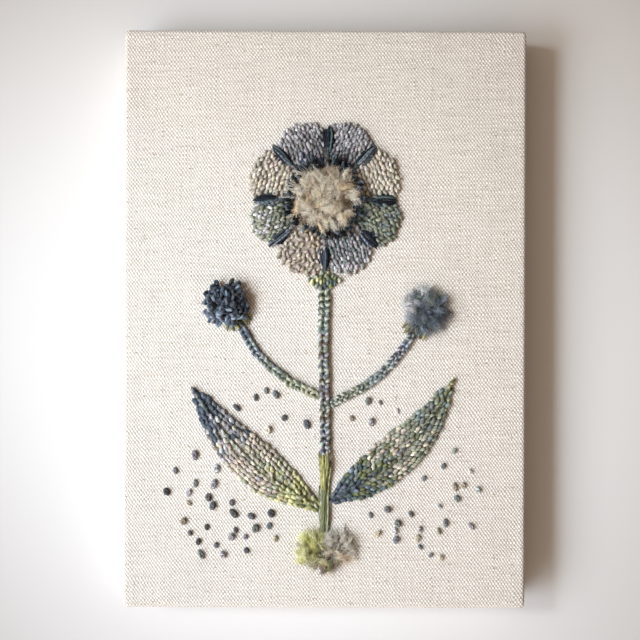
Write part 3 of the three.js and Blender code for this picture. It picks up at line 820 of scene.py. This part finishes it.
def make_canvas():
    hx, hy = PANEL_W / 2 - EDGE_R, PANEL_H / 2 - EDGE_R
    gx, gy = spaced(hx, 25.0, 1.0, 3.4), spaced(hy, 25.0, 1.0, 3.4)
    nx, ny = len(gx), len(gy)
    X, Y = np.meshgrid(gx, gy, indexing="ij")
    # outline of the grid, anticlockwise from the lower left
    ring = [(i, 0) for i in range(nx - 1)] + [(nx - 1, j) for j in range(ny - 1)] + [(i, ny - 1) for i in range(nx - 1, 0, -1)] + [(0, j) for j in range(ny - 1, 0, -1)]
    ring = np.array(ring)
    rx, ry = gx[ring[:, 0]], gy[ring[:, 1]]
    ox = np.where(ring[:, 0] == 0, -1.0, np.where(ring[:, 0] == nx - 1, 1.0, 0.0))
    oy = np.where(ring[:, 1] == 0, -1.0, np.where(ring[:, 1] == ny - 1, 1.0, 0.0))
    ln = np.hypot(ox, oy)
    ox, oy = ox / ln, oy / ln
    # section from the face, round the edge, down the side and on to the back: (outward, height, cloth run)
    arc = np.linspace(0, np.pi / 2, 6)[1:]
    rows = [(EDGE_R * math.sin(t), PANEL_D - EDGE_R + EDGE_R * math.cos(t), EDGE_R * t) for t in arc]
    run = EDGE_R * math.pi / 2
    side = np.linspace(PANEL_D - EDGE_R, EDGE_R, 19)[1:]
    rows += [(EDGE_R, z, run + PANEL_D - EDGE_R - z) for z in side]
    run += PANEL_D - 2 * EDGE_R
    rows += [(EDGE_R * math.cos(t), EDGE_R - EDGE_R * math.sin(t), run + EDGE_R * t) for t in arc]
    run += EDGE_R * math.pi / 2
    back = np.linspace(0, TURN_IN - EDGE_R, 10)[1:]
    rows += [(-d, 0.0, run + d) for d in back]
    rows = np.array(rows)
    nring, P = len(rows), len(ring)

    def layer(offset):
        """Points of one face of the cloth, offset inwards from the outer face, and their place on the flat cloth."""
        front = np.stack([X, Y, PANEL_D - offset + ripple(X, Y) * np.clip((np.minimum(hx - np.abs(X), hy - np.abs(Y))) / 12.0, 0, 1)], -1).reshape(-1, 3)
        flat = np.stack([X, Y], -1).reshape(-1, 2)
        out, uv = [], []
        for d, z, s in rows:
            # the thickness goes towards the inside of the section
            dd, zz = d, z
            if z >= PANEL_D - EDGE_R - 1e-6:
                f = (EDGE_R - offset) / EDGE_R
                dd, zz = d * f, PANEL_D - EDGE_R + (z - PANEL_D + EDGE_R) * f
            elif z >= EDGE_R - 1e-6:
                dd = d - offset
            elif d > 1e-9:
                f = (EDGE_R - offset) / EDGE_R
                dd, zz = d * f, EDGE_R - (EDGE_R - z) * f
            else:
                zz = offset
            px, py = rx + ox * dd, ry + oy * dd
            if d < -1e-9:  # on the back the rows shrink towards the middle, mitred at the corners
                px = rx * (hx + d) / hx
                py = ry * (hy + d) / hy
            pz = np.full(P, zz)
            # folded corners: the top and bottom sides carry the tucked flap, the back its mitre
            end = hx - np.abs(rx)
            on_end = np.abs(oy) > 0.9
            if 0 < d and z < PANEL_D - EDGE_R + 1e-6 and z > EDGE_R - 1e-6:
                deep = PANEL_D - EDGE_R - z
                tuck = np.clip((end - deep * 1.02 - 0.6) / 0.9, 0, 1) * np.clip((26 - end) / 3.0, 0, 1)
                flap = 0.45 * (1 - np.clip((end - deep * 1.02 - 0.6) / 0.9, 0, 1))
                py = py + np.where(on_end, np.sign(oy) * (flap - 0.12 * tuck), 0)
            out.append(np.stack([px, py, pz], 1))
            fx = np.where(np.abs(ox) > 0, np.sign(ox), 0)
            fy = np.where(np.abs(oy) > 0, np.sign(oy), 0)
            uv.append(np.stack([rx + fx * s, ry + fy * s], 1))
        return np.vstack([front] + out), np.vstack([flat] + uv)

    outer, cloth = layer(0.0)
    inner, _ = layer(CLOTH_T)
    n = len(outer)
    at = lambda i, j: i * ny + j
    i, j = np.meshgrid(np.arange(nx - 1), np.arange(ny - 1), indexing="ij")
    i, j = i.ravel(), j.ravel()
    q = [np.stack([at(i, j), at(i + 1, j), at(i + 1, j + 1), at(i, j + 1)], 1)]
    first = at(ring[:, 0], ring[:, 1])
    rings = [first] + [nx * ny + r * P + np.arange(P) for r in range(nring)]
    nxt = np.roll(np.arange(P), -1)
    for r in range(nring):
        a, b = rings[r], rings[r + 1]
        q.append(np.stack([a, b, b[nxt], a[nxt]], 1))
    q = np.concatenate(q)
    lip = rings[-1]
    faces = np.concatenate([q, q[:, ::-1] + n, np.stack([lip, lip + n, lip[nxt] + n, lip[nxt]], 1)])
    verts = np.vstack([outer, inner]) * MM
    flat = np.vstack([cloth, cloth])
    me = bpy.data.meshes.new("canvas_cloth")
    me.from_pydata(verts.tolist(), [], faces.tolist())
    me.polygons.foreach_set("use_smooth", np.ones(len(faces), bool))
    layer_ = me.uv_layers.new(name="Cloth")
    layer_.data.foreach_set("uv", flat[faces.ravel()].astype(np.float32).ravel())
    me.validate()
    me.update()
    ob = bpy.data.objects.new("canvas_cloth", me)
    bpy.context.collection.objects.link(ob)
    me.materials.append(DUCK)
    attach(ob, "root")
    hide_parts("canvas")
    print("piece canvas triangles", 2 * len(faces))
    return ob


canvas = make_canvas()

# ---- stretcher bars keep their construction, in pine --------------------------------
for name, turn in (("bar_top", 0.0), ("bar_bottom", 0.0), ("bar_left", math.pi / 2), ("bar_right", math.pi / 2)):
    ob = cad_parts[name]
    mat = pine_material("pine_" + name, turn)
    ob.data.materials.clear()
    ob.data.materials.append(mat)

# ---- bloom -------------------------------------------------------------------------
centre = np.array([BLOOM["x"], BLOOM["y"]])
FILLINGS = dict(  # pitch across and along the rows, and the yarn's radius
    rib=dict(across=1.4, along=1.85, radius=0.69),
    brick=dict(across=1.55, along=2.3, radius=0.79),
    twist=dict(across=1.42, along=2.15, radius=0.7),
    seed=dict(across=1.5, along=2.2, radius=0.75),
)
PETALS = [  # clockwise from the top: filling, reach beside the common one, yarns from the root to the rim
    dict(kind="rib", more=0.0, yarns=("slate", "pewter", "lilac", "lilacgrey", "lilac")),
    dict(kind="brick", more=-0.6, yarns=("biscuit", "oatmeal", "cream", "beige", "cream")),
    dict(kind="twist", more=0.3, yarns=("teal", "greygreen", "sage", "tealgrey", "sage")),
    dict(kind="rib", more=-0.3, yarns=("pewter", "lilac", "tealgrey", "lilac", "lilacgrey")),
    dict(kind="seed", more=0.2, yarns=("biscuit", "pink", "beige", "oatmeal", "pink")),
    dict(kind="twist", more=-0.5, yarns=("forest", "greygreen", "sage", "lilacgrey", "sage")),
    dict(kind="brick", more=0.4, yarns=("oatmeal", "beige", "cream", "oatmeal", "cream")),
    dict(kind="rib", more=-0.2, yarns=("slate", "lilac", "pewter", "lilac", "lilacgrey")),
]


def petal_outline(mid, more):
    """A rounded wedge between two notches of the bloom."""
    half = math.pi / BLOOM["petals"]
    th = np.linspace(-half, half, 33)
    edge = BLOOM["notch"] + (BLOOM["reach"] + more - BLOOM["notch"]) * np.abs(np.cos(th * BLOOM["petals"] / 2)) ** 0.7
    rim = np.stack([edge * np.cos(th * 0.96), edge * np.sin(th * 0.96)], 1)
    a, r = half * 0.92, BLOOM["inner"]
    loop = np.vstack([[[r * math.cos(a), -r * math.sin(a)]], rim, [[r * math.cos(a), r * math.sin(a)]]])
    c, s = math.cos(mid), math.sin(mid)
    return centre + loop @ np.array([[c, s], [-s, c]])


def petal_tint(yarns):
    def tint(p):
        s = (np.linalg.norm(p - centre, axis=1) - BLOOM["inner"]) / (BLOOM["reach"] - BLOOM["inner"])
        return ramp(yarns, s, 0.85)
    return tint


bloom = Piece("bloom_stitches")
for k, spec in enumerate(PETALS):
    mid = math.pi / 2 - (k + 0.5) * 2 * math.pi / BLOOM["petals"]
    fill(bloom, petal_outline(mid, spec["more"]), (math.cos(mid), math.sin(mid)), spec["kind"], petal_tint(spec["yarns"]), crown=1.5, fuzz=2.9, **FILLINGS[spec["kind"]])
for k in range(BLOOM["petals"]):
    ang = math.pi / 2 - k * 2 * math.pi / BLOOM["petals"] + RNG.normal(0, 0.03)
    out = np.array([math.cos(ang), math.sin(ang)])
    # stitches that close the gap between two petals, then the sepal over them
    r = np.array([13.4, 15.5, 17.6, 19.7])
    c = jitter_colour(pick(("pewter", "slate", "teal", "lilac"), len(r)), len(r), 0.2)
    grains(bloom, centre + r[:, None] * out, np.broadcast_to(out, (len(r), 2)), np.full(len(r), FACE + 1.5), c, length=2.5, radius=0.72)
    c = jitter_colour(pick(("night", "navy", "ink", "slate", "teal"), 8, (0.45, 0.23, 0.1, 0.12, 0.1)), 8, 0.32)
    satin(bloom, centre + out * RNG.uniform(22.8, 23.8), out, RNG.uniform(10.4, 12.0), RNG.uniform(5.0, 6.0), c, FACE + 1.6)
bloom.build(WOOLS, "wool_bloom", ["bloom"])

# ---- middle of the bloom: fleece locks over a ring of navy loops ------------------------
pile = Piece("middle_fleece")
# painted shade: the dome beneath the locks has their yarn colour dimmed, so the gaps between locks look shaded
mound(pile, *centre, 9.5, 9.5, FACE + 0.2, 5.4, lambda p: pick(("oatmeal", "biscuit"), len(p)) * 0.85)
n = 78
a = np.arange(n) * 2 * np.pi / n + RNG.normal(0, 0.06, n)
r = RNG.uniform(12.0, 14.6, n)
root = np.stack([centre[0] + r * np.cos(a), centre[1] + r * np.sin(a), np.full(n, FACE + 1.7)], 1)
lean = np.stack([np.cos(a), np.sin(a), 0 * a], 1) * RNG.uniform(0.1, 0.8, (n, 1))
loops(pile, root, lean, RNG.uniform(2.6, 4.6, n), 0.7, 0.54, jitter_colour(pick(("night", "navy", "ink", "teal", "slate"), n, (0.3, 0.28, 0.18, 0.12, 0.12)), n, 0.26), fuzz=5)
TIERS = [  # rings of locks: how far out they are rooted, how many, how long, how far they lean out
    dict(near=7.5, far=10.4, count=36, short=4.6, long=7.0, lean=1.9),
    dict(near=3.6, far=7.4, count=34, short=4.6, long=7.2, lean=1.1),
    dict(near=0.0, far=3.8, count=18, short=4.0, long=6.4, lean=0.5),
]
for s in TIERS:
    n = s["count"]
    a = np.arange(n) * 2 * np.pi / n + RNG.normal(0, 0.16, n)
    r = RNG.uniform(s["near"], s["far"], n)
    root = np.stack([centre[0] + r * np.cos(a), centre[1] + r * np.sin(a), FACE + 1.2 + 4.4 * np.sqrt(np.maximum(1 - (r / 11.5) ** 2, 0))], 1)
    turn = a + RNG.normal(0, 0.55, n)
    go = np.stack([np.cos(turn) * s["lean"], np.sin(turn) * s["lean"], np.ones(n)], 1) + RNG.normal(0, 0.22, (n, 3))
    c = pick(("oatmeal", "cream", "beige", "biscuit", "fawn"), n, (0.3, 0.28, 0.2, 0.18, 0.04)) * (1.04, 0.985, 0.945) * np.exp(RNG.normal(0.7, 0.34, (n, 1)))
    fleece(pile, root, go, RNG.uniform(s["short"], s["long"], n), bounded(c, 0.94), 31, clump=0.46, tip=0.62, curl=0.6, droop=0.3, thick=0.06, deep=0.8)
pile.build(WOOLS, "wool_pile", ["pile_middle"])

# ---- stems ------------------------------------------------------------------------------
STEM_YARNS = dict(
    dark=("forest", "teal", "moss", "umber", "slate", "forest", "umber", "ink", "slate"),
    light=("sage", "greygreen", "tealgrey", "sage", "pewter", "greygreen", "pewter", "lilac", "tealgrey"),
)
BRANCH_YARNS = dict(
    left=dict(dark=("olive", "moss", "forest", "teal", "slate", "ink"), light=("pistachio", "sage", "greygreen", "tealgrey", "denim", "slate")),
    right=dict(dark=("moss", "forest", "teal", "slate", "slate", "ink"), light=("sage", "sage", "greygreen", "tealgrey", "pewter", "denim")),
)
stem = Piece("stem_chain")
upper, _, _ = catmull(STEM_LINE, 60)
chain_part = upper[upper[:, 1] > -60]
chain(stem, chain_part[::6], 2.55, 4.7, 0.88, STEM_YARNS["dark"], STEM_YARNS["light"], z=0.55)
BINDINGS = [  # straight stitches over the foot of the stem: from, to, yarns, how light, how many
    dict(top=-54.0, low=-69.5, yarns=("chartreuse", "lime", "olive"), tone=0.78, count=9),
    dict(top=-66.5, low=-85.5, yarns=("moss", "olive", "sage"), tone=1.1, count=10),
]
for s in BINDINGS:
    cnt = s["count"]
    b = np.linspace(-1, 1, cnt)
    t = np.linspace(-1, 1, 11)
    y = 0.5 * (s["top"] + s["low"]) + 0.5 * (s["top"] - s["low"]) * t[None] * RNG.uniform(0.8, 1.1, (cnt, 1)) + RNG.normal(0, 1.3, (cnt, 1))
    x = (b[:, None] * 1.8) * (1 + 0.14 * t[None]) + RNG.normal(0, 0.16, (cnt, 1)) + 0.25 * np.sin(2 * t[None] + RNG.uniform(0, 6.28, (cnt, 1))) + 0.15
    z = FACE + 0.7 + 0.75 * (1 - b[:, None] ** 2) + 0.35 * (1 - t[None] ** 2) - 1.1 * np.abs(t[None]) ** 8
    z = z + 1.15 * np.clip((y + 62.5) / 4.0, 0, 1) * RNG.uniform(0.6, 1.1, (cnt, 1))  # up over the end of the chain
    paths = np.stack([x * np.ones_like(y), y, z * np.ones_like(y)], -1)[:, ::-1]
    c = jitter_colour(pick(s["yarns"], cnt) * s["tone"], cnt, 0.2)
    stem.strands(paths, 0.47 * RNG.uniform(0.85, 1.15, (cnt, 1)) * (1 - 0.4 * np.abs(t) ** 5)[None], c, sides=9, ply=0.15, lay=1.5, groove_shade=0.45, other=jitter_colour(pick(s["yarns"], cnt) * s["tone"], cnt, 0.25))
    stray(stem, paths, 0.47 * np.ones(paths.shape[:2]), c, cnt * 14)
stem.build(WOOLS, "wool_stem", ["stem"])
cup = Piece("calyx_stitches")
outline = np.array([(-2.4, 11.2), (2.4, 11.2), (4.9, 13.4), (8.0, 15.4), (6.6, 16.9), (3.4, 17.9), (0.0, 19.6), (-3.4, 17.9), (-6.6, 16.9), (-8.0, 15.4), (-4.9, 13.4)])
fill(cup, outline, (0, 1), "rib", lambda p: ramp(("tealgrey", "teal", "moss", "sage", "pistachio", "greygreen"), (p[:, 1] - 11) / 9, 1.0) * 1.35, crown=1.4, fuzz=3, across=1.4, along=2.0, radius=0.7, inside=0.4)
cup.build(WOOLS, "wool_stem", ["calyx"])
for side, node_name, bud in (("left", "branch_left", "bud_left"), ("right", "branch_right", "bud_right")):
    br = Piece(node_name + "_chain")
    chain(br, BRANCH_LINES[side], 2.25, 3.9, 0.74, BRANCH_YARNS[side]["dark"], BRANCH_YARNS[side]["light"], z=0.5)
    # a few green stitches that hold the bud
    t = TUFTS[bud]
    back = np.array(BRANCH_LINES[side][-1]) - (t["x"], t["y"])
    a = math.atan2(back[1], back[0]) + np.array([-0.5, -0.3, -0.12, 0.1, 0.3, 0.48])
    d = np.stack([np.cos(a), np.sin(a)], 1)
    c = jitter_colour(pick(("moss", "olive", "chartreuse", "forest"), len(a), (0.35, 0.3, 0.15, 0.2)), len(a), 0.2)
    grains(br, np.array([t["x"], t["y"]]) + d * RNG.uniform(8.4, 9.4, (len(a), 1)), d, FACE + RNG.uniform(0.9, 1.5, len(a)), c, length=4.6, radius=0.66, fuzz=6)
    br.build(WOOLS, "wool_stem", [node_name])

# ---- leaves --------------------------------------------------------------------------------
LEAF_YARNS = dict(
    left=("olive", "lime", "pistachio", "sage", "oatmeal", "cream", "oatmeal", "lilacgrey", "pewter", "slate", "slate", "ink"),
    right=("slate", "denim", "teal", "moss", "greygreen", "oatmeal", "oatmeal", "sage", "greygreen", "tealgrey", "sage", "pistachio"),
)
RIB_YARNS = dict(left=("moss", "olive", "greygreen", "slate"), right=("ink", "slate", "forest", "moss"))
LEAF_LIGHT = dict(along=(0.0, 0.3, 0.6, 1.0), left=(1.4, 1.32, 1.12, 1.55), right=(1.15, 1.15, 1.15, 1.15))  # lighter dye lots, from the foot to the tip


def leaf_outline(side):
    q, tan, _ = catmull(LEAF_LINES[side], 61)
    half = np.interp(np.linspace(0, 1, 61), LEAF_SHAPE["along"], LEAF_SHAPE["width"]) * LEAF_WIDTH[side] / 2
    half = np.convolve(np.pad(half, 2, mode="edge"), np.ones(5) / 5, "valid")
    n = side_of(tan)
    return q, n, half, np.vstack([q + n * half[:, None], (q - n * half[:, None])[::-1]])


def walk(line, first, pitch):
    """Points at an even pitch along a line, with directions."""
    d = np.concatenate([[0], np.cumsum(np.linalg.norm(np.diff(line, axis=0), axis=1))])
    s = np.arange(first, d[-1] - 0.4, pitch)
    at = lambda v: np.stack([np.interp(v, d, line[:, k]) for k in range(2)], 1)
    t = at(s + 0.5) - at(s - 0.5)
    return at(s), t / np.maximum(np.linalg.norm(t, axis=1, keepdims=True), 1e-9)


for side, node_name in (("left", "leaf_left"), ("right", "leaf_right")):
    q, n, half, loop = leaf_outline(side)
    leaf = Piece(node_name + "_stitches")

    def tint(p, q=q, stops=LEAF_YARNS[side], light=LEAF_LIGHT[side]):
        k = np.linalg.norm(p[:, None] - q[None], axis=2).argmin(1)
        return bounded(ramp(stops, k / 60, 0.9) * np.interp(k / 60, LEAF_LIGHT["along"], light)[:, None], 0.56)

    # columns that follow each edge inwards, until they meet the midrib
    c, d = [], []
    for sign in (1, -1):
        for k in range(8):
            off = half - 0.82 - 1.62 * k
            if (off > 1.2).sum() < 4:
                break
            p, t = walk((q + sign * n * off[:, None])[off > 1.2], 0.7 + 1.25 * (k % 2), 2.5)
            turn = sign * RNG.normal(0.2, 0.1, (len(p), 1))
            c.append(p + RNG.normal(0, 0.12, p.shape))
            d.append(t * np.cos(turn) + side_of(t) * np.sin(turn))
    # the last number is the painted shade on the padding beneath the leaf
    lay_grains(leaf, loop, np.concatenate(c), np.concatenate(d), tint, 1.7, 2.2, 2.9, 0.88, 3.4, 0.85)
    p, t = walk(q, 0.9, 2.5)
    height = FACE + 0.45 + 1.7 * (1 - np.exp(-np.maximum(depth_in(p, loop) - 0.3, 0) / 2.2))
    rib = jitter_colour(ramp(RIB_YARNS[side], np.linspace(0, 1, len(p)), 0.6), len(p), 0.18)
    grains(leaf, p, t, height, rib, jitter_colour(tint(p), len(p), 0.2), length=3.2, radius=0.72, fuzz=4)
    leaf.build(WOOLS, "wool_leaf", [node_name])

# ---- tufted buds and foot ---------------------------------------------------------------------
t = TUFTS["bud_left"]
bud = Piece("bud_left_loops")
# painted shade: the core dome is a dimmed charcoal, so the gaps between loops look shaded
mound(bud, t["x"], t["y"], 6.6, 6.2, FACE + 0.1, 4.4, COL["charcoal"] * 0.5)
n = 165
a = RNG.uniform(0, 2 * np.pi, n)
r = np.sqrt(RNG.uniform(0, 1, n))
root = np.stack([t["x"] + 6.9 * r * np.cos(a), t["y"] + 6.5 * r * np.sin(a), FACE + 0.6 + 3.6 * np.sqrt(1 - r**2 * 0.98)], 1)
lean = np.stack([np.cos(a) * r, np.sin(a) * r, 0 * a], 1) * 1.3 + RNG.normal(0, 0.45, (n, 3))
# painted light: loops on the lower left, the side facing the lights, get lighter yarns than the rest
low = (root[:, 1] + 0.4 * root[:, 0] < t["y"] + 0.4 * t["x"] - 1.5)[:, None]
c = np.where(low, pick(("slate", "denim", "ink", "slate"), n), pick(("navy", "charcoal", "ink", "slate"), n, (0.4, 0.22, 0.24, 0.14)))
loops(bud, root, lean, RNG.uniform(1.8, 3.9, n), 0.9, 0.6, bounded(jitter_colour(c, n, 0.32) * 2.0, 0.42), fuzz=10)
bud.build(WOOLS, "wool_navy", ["bud_left"])

t = TUFTS["bud_right"]
bud = Piece("bud_right_mohair")
# painted shade: the core dome is its yarn colour dimmed, so the gaps between locks look shaded
mound(bud, t["x"], t["y"], 6.2, 6.6, FACE + 0.1, 4.2, lambda p: pick(("slate", "denim"), len(p)) * 0.5)
n = 112
a = RNG.uniform(0, 2 * np.pi, n)
r = np.sqrt(RNG.uniform(0, 1, n))
dx, dy = 6.2 * r * np.cos(a), 6.6 * r * np.sin(a)
root = np.stack([t["x"] + dx, t["y"] + dy, FACE + 0.5 + 3.8 * np.sqrt(1 - r**2 * 0.98)], 1)
go = np.stack([np.cos(a) * (0.2 + 1.3 * r), np.sin(a) * (0.2 + 1.3 * r), 1.0 - 0.7 * r], 1) + RNG.normal(0, 0.6, (n, 3))
# dye blotches from the sine terms, plus a steady gradient lighter towards the upper left: painted light on the side
# facing the window
dye_blotch_and_lit_side = 0.5 + 0.3 * np.sin(0.62 * dx + 1.1) * np.cos(0.55 * dy - 0.4) + 0.045 * (dx - dy)
c = ramp(("lilacgrey", "tealgrey", "denim", "slate", "denim", "ink"), np.clip(dye_blotch_and_lit_side, 0, 1), 0.7) * np.exp(RNG.normal(0.3, 0.45, (n, 1)))
c = np.where(RNG.random((n, 1)) < 0.04, COL["lime"] * 0.75, c)
fleece(bud, root, go, RNG.uniform(3.0, 6.0, n), bounded(c), 24, clump=0.38, tip=0.8, crimp=0.3, wave=3.4, curl=0.7, thick=0.056, vary=0.32)
n = 40
a = RNG.uniform(0, 2 * np.pi, n)
root = np.stack([t["x"] + 6.4 * np.cos(a), t["y"] + 6.8 * np.sin(a), np.full(n, FACE + 0.8)], 1)
go = np.stack([np.cos(a), np.sin(a), RNG.uniform(-0.1, 0.5, n)], 1)
fleece(bud, root, go, RNG.uniform(2.2, 4.0, n), pick(("lilacgrey", "tealgrey", "denim"), n) * 1.15, 9, clump=1.0, tip=1.6, crimp=0.4, wave=3.0, curl=0.7, thick=0.03)
bud.build(WOOLS, "wool_blue", ["bud_right"])

t = TUFTS["foot"]
foot = Piece("foot_fleece")
LUMPS = [
    dict(dx=-5.0, dy=1.4, wide=5.6, tall=5.8, yarns=("lime", "chartreuse", "olive"), share=(0.62, 0.3, 0.08), locks=44),
    dict(dx=4.6, dy=1.6, wide=5.4, tall=5.6, yarns=("cream", "oatmeal", "biscuit"), share=(0.5, 0.3, 0.2), locks=42),
    dict(dx=0.2, dy=-2.6, wide=5.6, tall=4.4, yarns=("umber", "biscuit", "olive"), share=(0.5, 0.25, 0.25), locks=34),
]
for s in LUMPS:
    cx, cy = t["x"] + s["dx"], t["y"] + s["dy"]
    # painted shade: each core dome is its yarn colour dimmed, so the gaps between locks look shaded
    mound(foot, cx, cy, s["wide"] * 0.78, s["tall"] * 0.78, FACE + 0.1, 3.4, COL[s["yarns"][1]] * 0.6, steps=32, rings=8)
    n = s["locks"]
    a = RNG.uniform(0, 2 * np.pi, n)
    r = np.sqrt(RNG.uniform(0, 1, n))
    root = np.stack([cx + s["wide"] * 0.8 * r * np.cos(a), cy + s["tall"] * 0.8 * r * np.sin(a), FACE + 0.4 + 2.8 * np.sqrt(1 - r**2 * 0.98)], 1)
    go = np.stack([np.cos(a) * (0.2 + r), np.sin(a) * (0.2 + r), 0.95 - 0.6 * r], 1) + RNG.normal(0, 0.4, (n, 3))
    fleece(foot, root, go, RNG.uniform(3.0, 5.2, n), bounded(pick(s["yarns"], n, s["share"]) * np.exp(RNG.normal(0.48, 0.2, (n, 1)))), 23, clump=0.44, tip=0.72, crimp=0.22, curl=0.6, thick=0.064, deep=0.78)
    # a thin halo of single fibres round the lump
    n = 12
    a = RNG.uniform(0, 2 * np.pi, n)
    root = np.stack([cx + s["wide"] * 0.85 * np.cos(a), cy + s["tall"] * 0.85 * np.sin(a), np.full(n, FACE + 0.7)], 1)
    go = np.stack([np.cos(a), np.sin(a), RNG.uniform(-0.1, 0.5, n)], 1)
    fleece(foot, root, go, RNG.uniform(1.8, 3.2, n), bounded(pick(s["yarns"][:2], n) * 1.5), 9, clump=1.0, tip=1.5, crimp=0.4, wave=3.0, curl=0.7, thick=0.03)
foot.build(WOOLS, "wool_moss", ["foot_tuft"])

# ---- scattered knots ------------------------------------------------------------------------------
KNOT_FANS = [  # arcs about the foot of the stem, the same on both sides
    dict(radius=22, start=8, stop=30, count=3),
    dict(radius=30, start=0, stop=26, count=5),
    dict(radius=39, start=-4, stop=24, count=6),
    dict(radius=48, start=-2, stop=30, count=7),
    dict(radius=57, start=6, stop=36, count=7),
    dict(radius=66, start=20, stop=44, count=4),
    dict(radius=52, start=66, stop=80, count=3),
    dict(radius=64, start=58, stop=74, count=4),
]
places = []
for side in (-1, 1):
    for f in KNOT_FANS:
        th = np.radians(np.linspace(f["start"], f["stop"], f["count"]))
        p = np.stack([side * f["radius"] * np.cos(th), -90 + f["radius"] * np.sin(th)], 1)
        places.append(p + RNG.normal(0, 1.9, p.shape))
places = np.concatenate(places)
solid = []
for side in ("left", "right"):
    solid.append(depth_in(places, leaf_outline(side)[3]))
    qb, _, _ = catmull(BRANCH_LINES[side], 61)
    solid.append(2.0 - np.linalg.norm(places[:, None] - qb[None], axis=2).min(1))
clear = np.max(solid, 0) < -2.2
clear &= (np.abs(places[:, 0]) < 68) & (places[:, 1] > -107) & (np.abs(places[:, 0]) > 5)
kept = []
for p in places[clear]:
    if all(np.hypot(*(p - k)) > 3.1 for k in kept):
        kept.append(p)
places = np.array(kept)
kn = Piece("french_knots")
KNOT_YARNS = dict(  # bluer on the left, more undyed on the right
    names=("ink", "iron", "slate", "charcoal", "pewter", "lilac", "tealgrey", "beige", "biscuit"),
    left=(0.12, 0.25, 0.18, 0.05, 0.2, 0.1, 0.04, 0.02, 0.04),
    right=(0.06, 0.2, 0.08, 0.05, 0.25, 0.12, 0.06, 0.06, 0.12),
)
n = len(places)
c = np.where(places[:, :1] < 0, pick(KNOT_YARNS["names"], n, KNOT_YARNS["left"]), pick(KNOT_YARNS["names"], n, KNOT_YARNS["right"]))
knots(kn, places, RNG.uniform(1.8, 2.9, n) * np.where(places[:, 0] < 0, 1.04, 0.92), jitter_colour(0.82 * c + np.where(places[:, :1] < 0, (0.094, 0.093, 0.09), (0.128, 0.127, 0.124)), n, 0.18))
kn.build(WOOLS, "wool_navy")
print("knots", len(places))

# ---- floor, light, camera ---------------------------------------------------------------------------
me = bpy.data.meshes.new("floor")
me.from_pydata([(-4, -4, -0.0001), (4, -4, -0.0001), (4, 4, -0.0001), (-4, 4, -0.0001)], [], [(0, 1, 2, 3)])
floor = bpy.data.objects.new("floor", me)
bpy.context.collection.objects.link(floor)
fm, nt, bsdf = new_material("floor_with_painted_falloff")
# painted shade: the floor colour is a little darker away from the middle, as if the light fell off there
far = node(nt, "ShaderNodeVectorMath", operation="LENGTH")
nt.links.new(node(nt, "ShaderNodeTexCoord").outputs["Object"], far.inputs[0])
falloff_shade = spread_value(nt, far.outputs["Value"], 0.128, 0.19, 1.0, 0.87)
nt.links.new(mix_colour(nt, "MULTIPLY", 1.0, (0.654, 0.65, 0.645), grey(nt, falloff_shade)), bsdf.inputs["Base Color"])
bsdf.inputs["Roughness"].default_value = 0.9
bsdf.inputs["Specular IOR Level"].default_value = 0.2
me.materials.append(fm)

world = bpy.data.worlds.new("room")
bpy.context.scene.world = world
world.use_nodes = True
bg = world.node_tree.nodes["Background"]
bg.inputs[0].default_value = (0.5, 0.375, 0.28, 1)
# the room is brighter on the window's side
way = node(world.node_tree, "ShaderNodeVectorMath", operation="DOT_PRODUCT")
way.inputs[1].default_value = (0.8, 0.6, 0.0)
world.node_tree.links.new(node(world.node_tree, "ShaderNodeTexCoord").outputs["Generated"], way.inputs[0])
world.node_tree.links.new(spread_value(world.node_tree, way.outputs["Value"], -1.0, 0.5, 2.86, 0.08), bg.inputs[1])


def area_light(name, at, to, size, power, colour, spread):
    ld = bpy.data.lights.new(name, "AREA")
    ld.shape = "RECTANGLE"
    ld.size, ld.size_y = size
    ld.energy = power
    ld.color = colour
    ld.spread = math.radians(spread)
    ob = bpy.data.objects.new(name, ld)
    ob.location = at
    ob.rotation_euler = (Vector(to) - Vector(at)).to_track_quat("-Z", "Y").to_euler()
    bpy.context.collection.objects.link(ob)
    return ob


area_light("window", (-0.505, 0.135, 0.634), (0.003, 0.017, 0.0), (0.155, 0.155), 0.147, (0.9, 1.0, 1.05), 34.0)
area_light("window_low", (-0.316, -0.239, 0.336), (0.035, -0.129, 0.0), (0.622, 0.226), 0.742, (0.862, 1.0, 1.15), 70.0)

cam_data = bpy.data.cameras.new("camera")
cam = bpy.data.objects.new("camera", cam_data)
cam_data.sensor_width = 36.0
cam_data.lens = 36.0 * 395.0 / 256.0 * 1.005
cam_data.clip_start, cam_data.clip_end = 0.01, 20.0
cam.location = (-0.0019, -0.0003, (PANEL_D + 395.0) * MM)
cam.rotation_euler = (0.0, 0.0, math.radians(0.2))
bpy.context.collection.objects.link(cam)
bpy.context.scene.camera = cam
bpy.context.scene.view_settings.view_transform = "Standard"
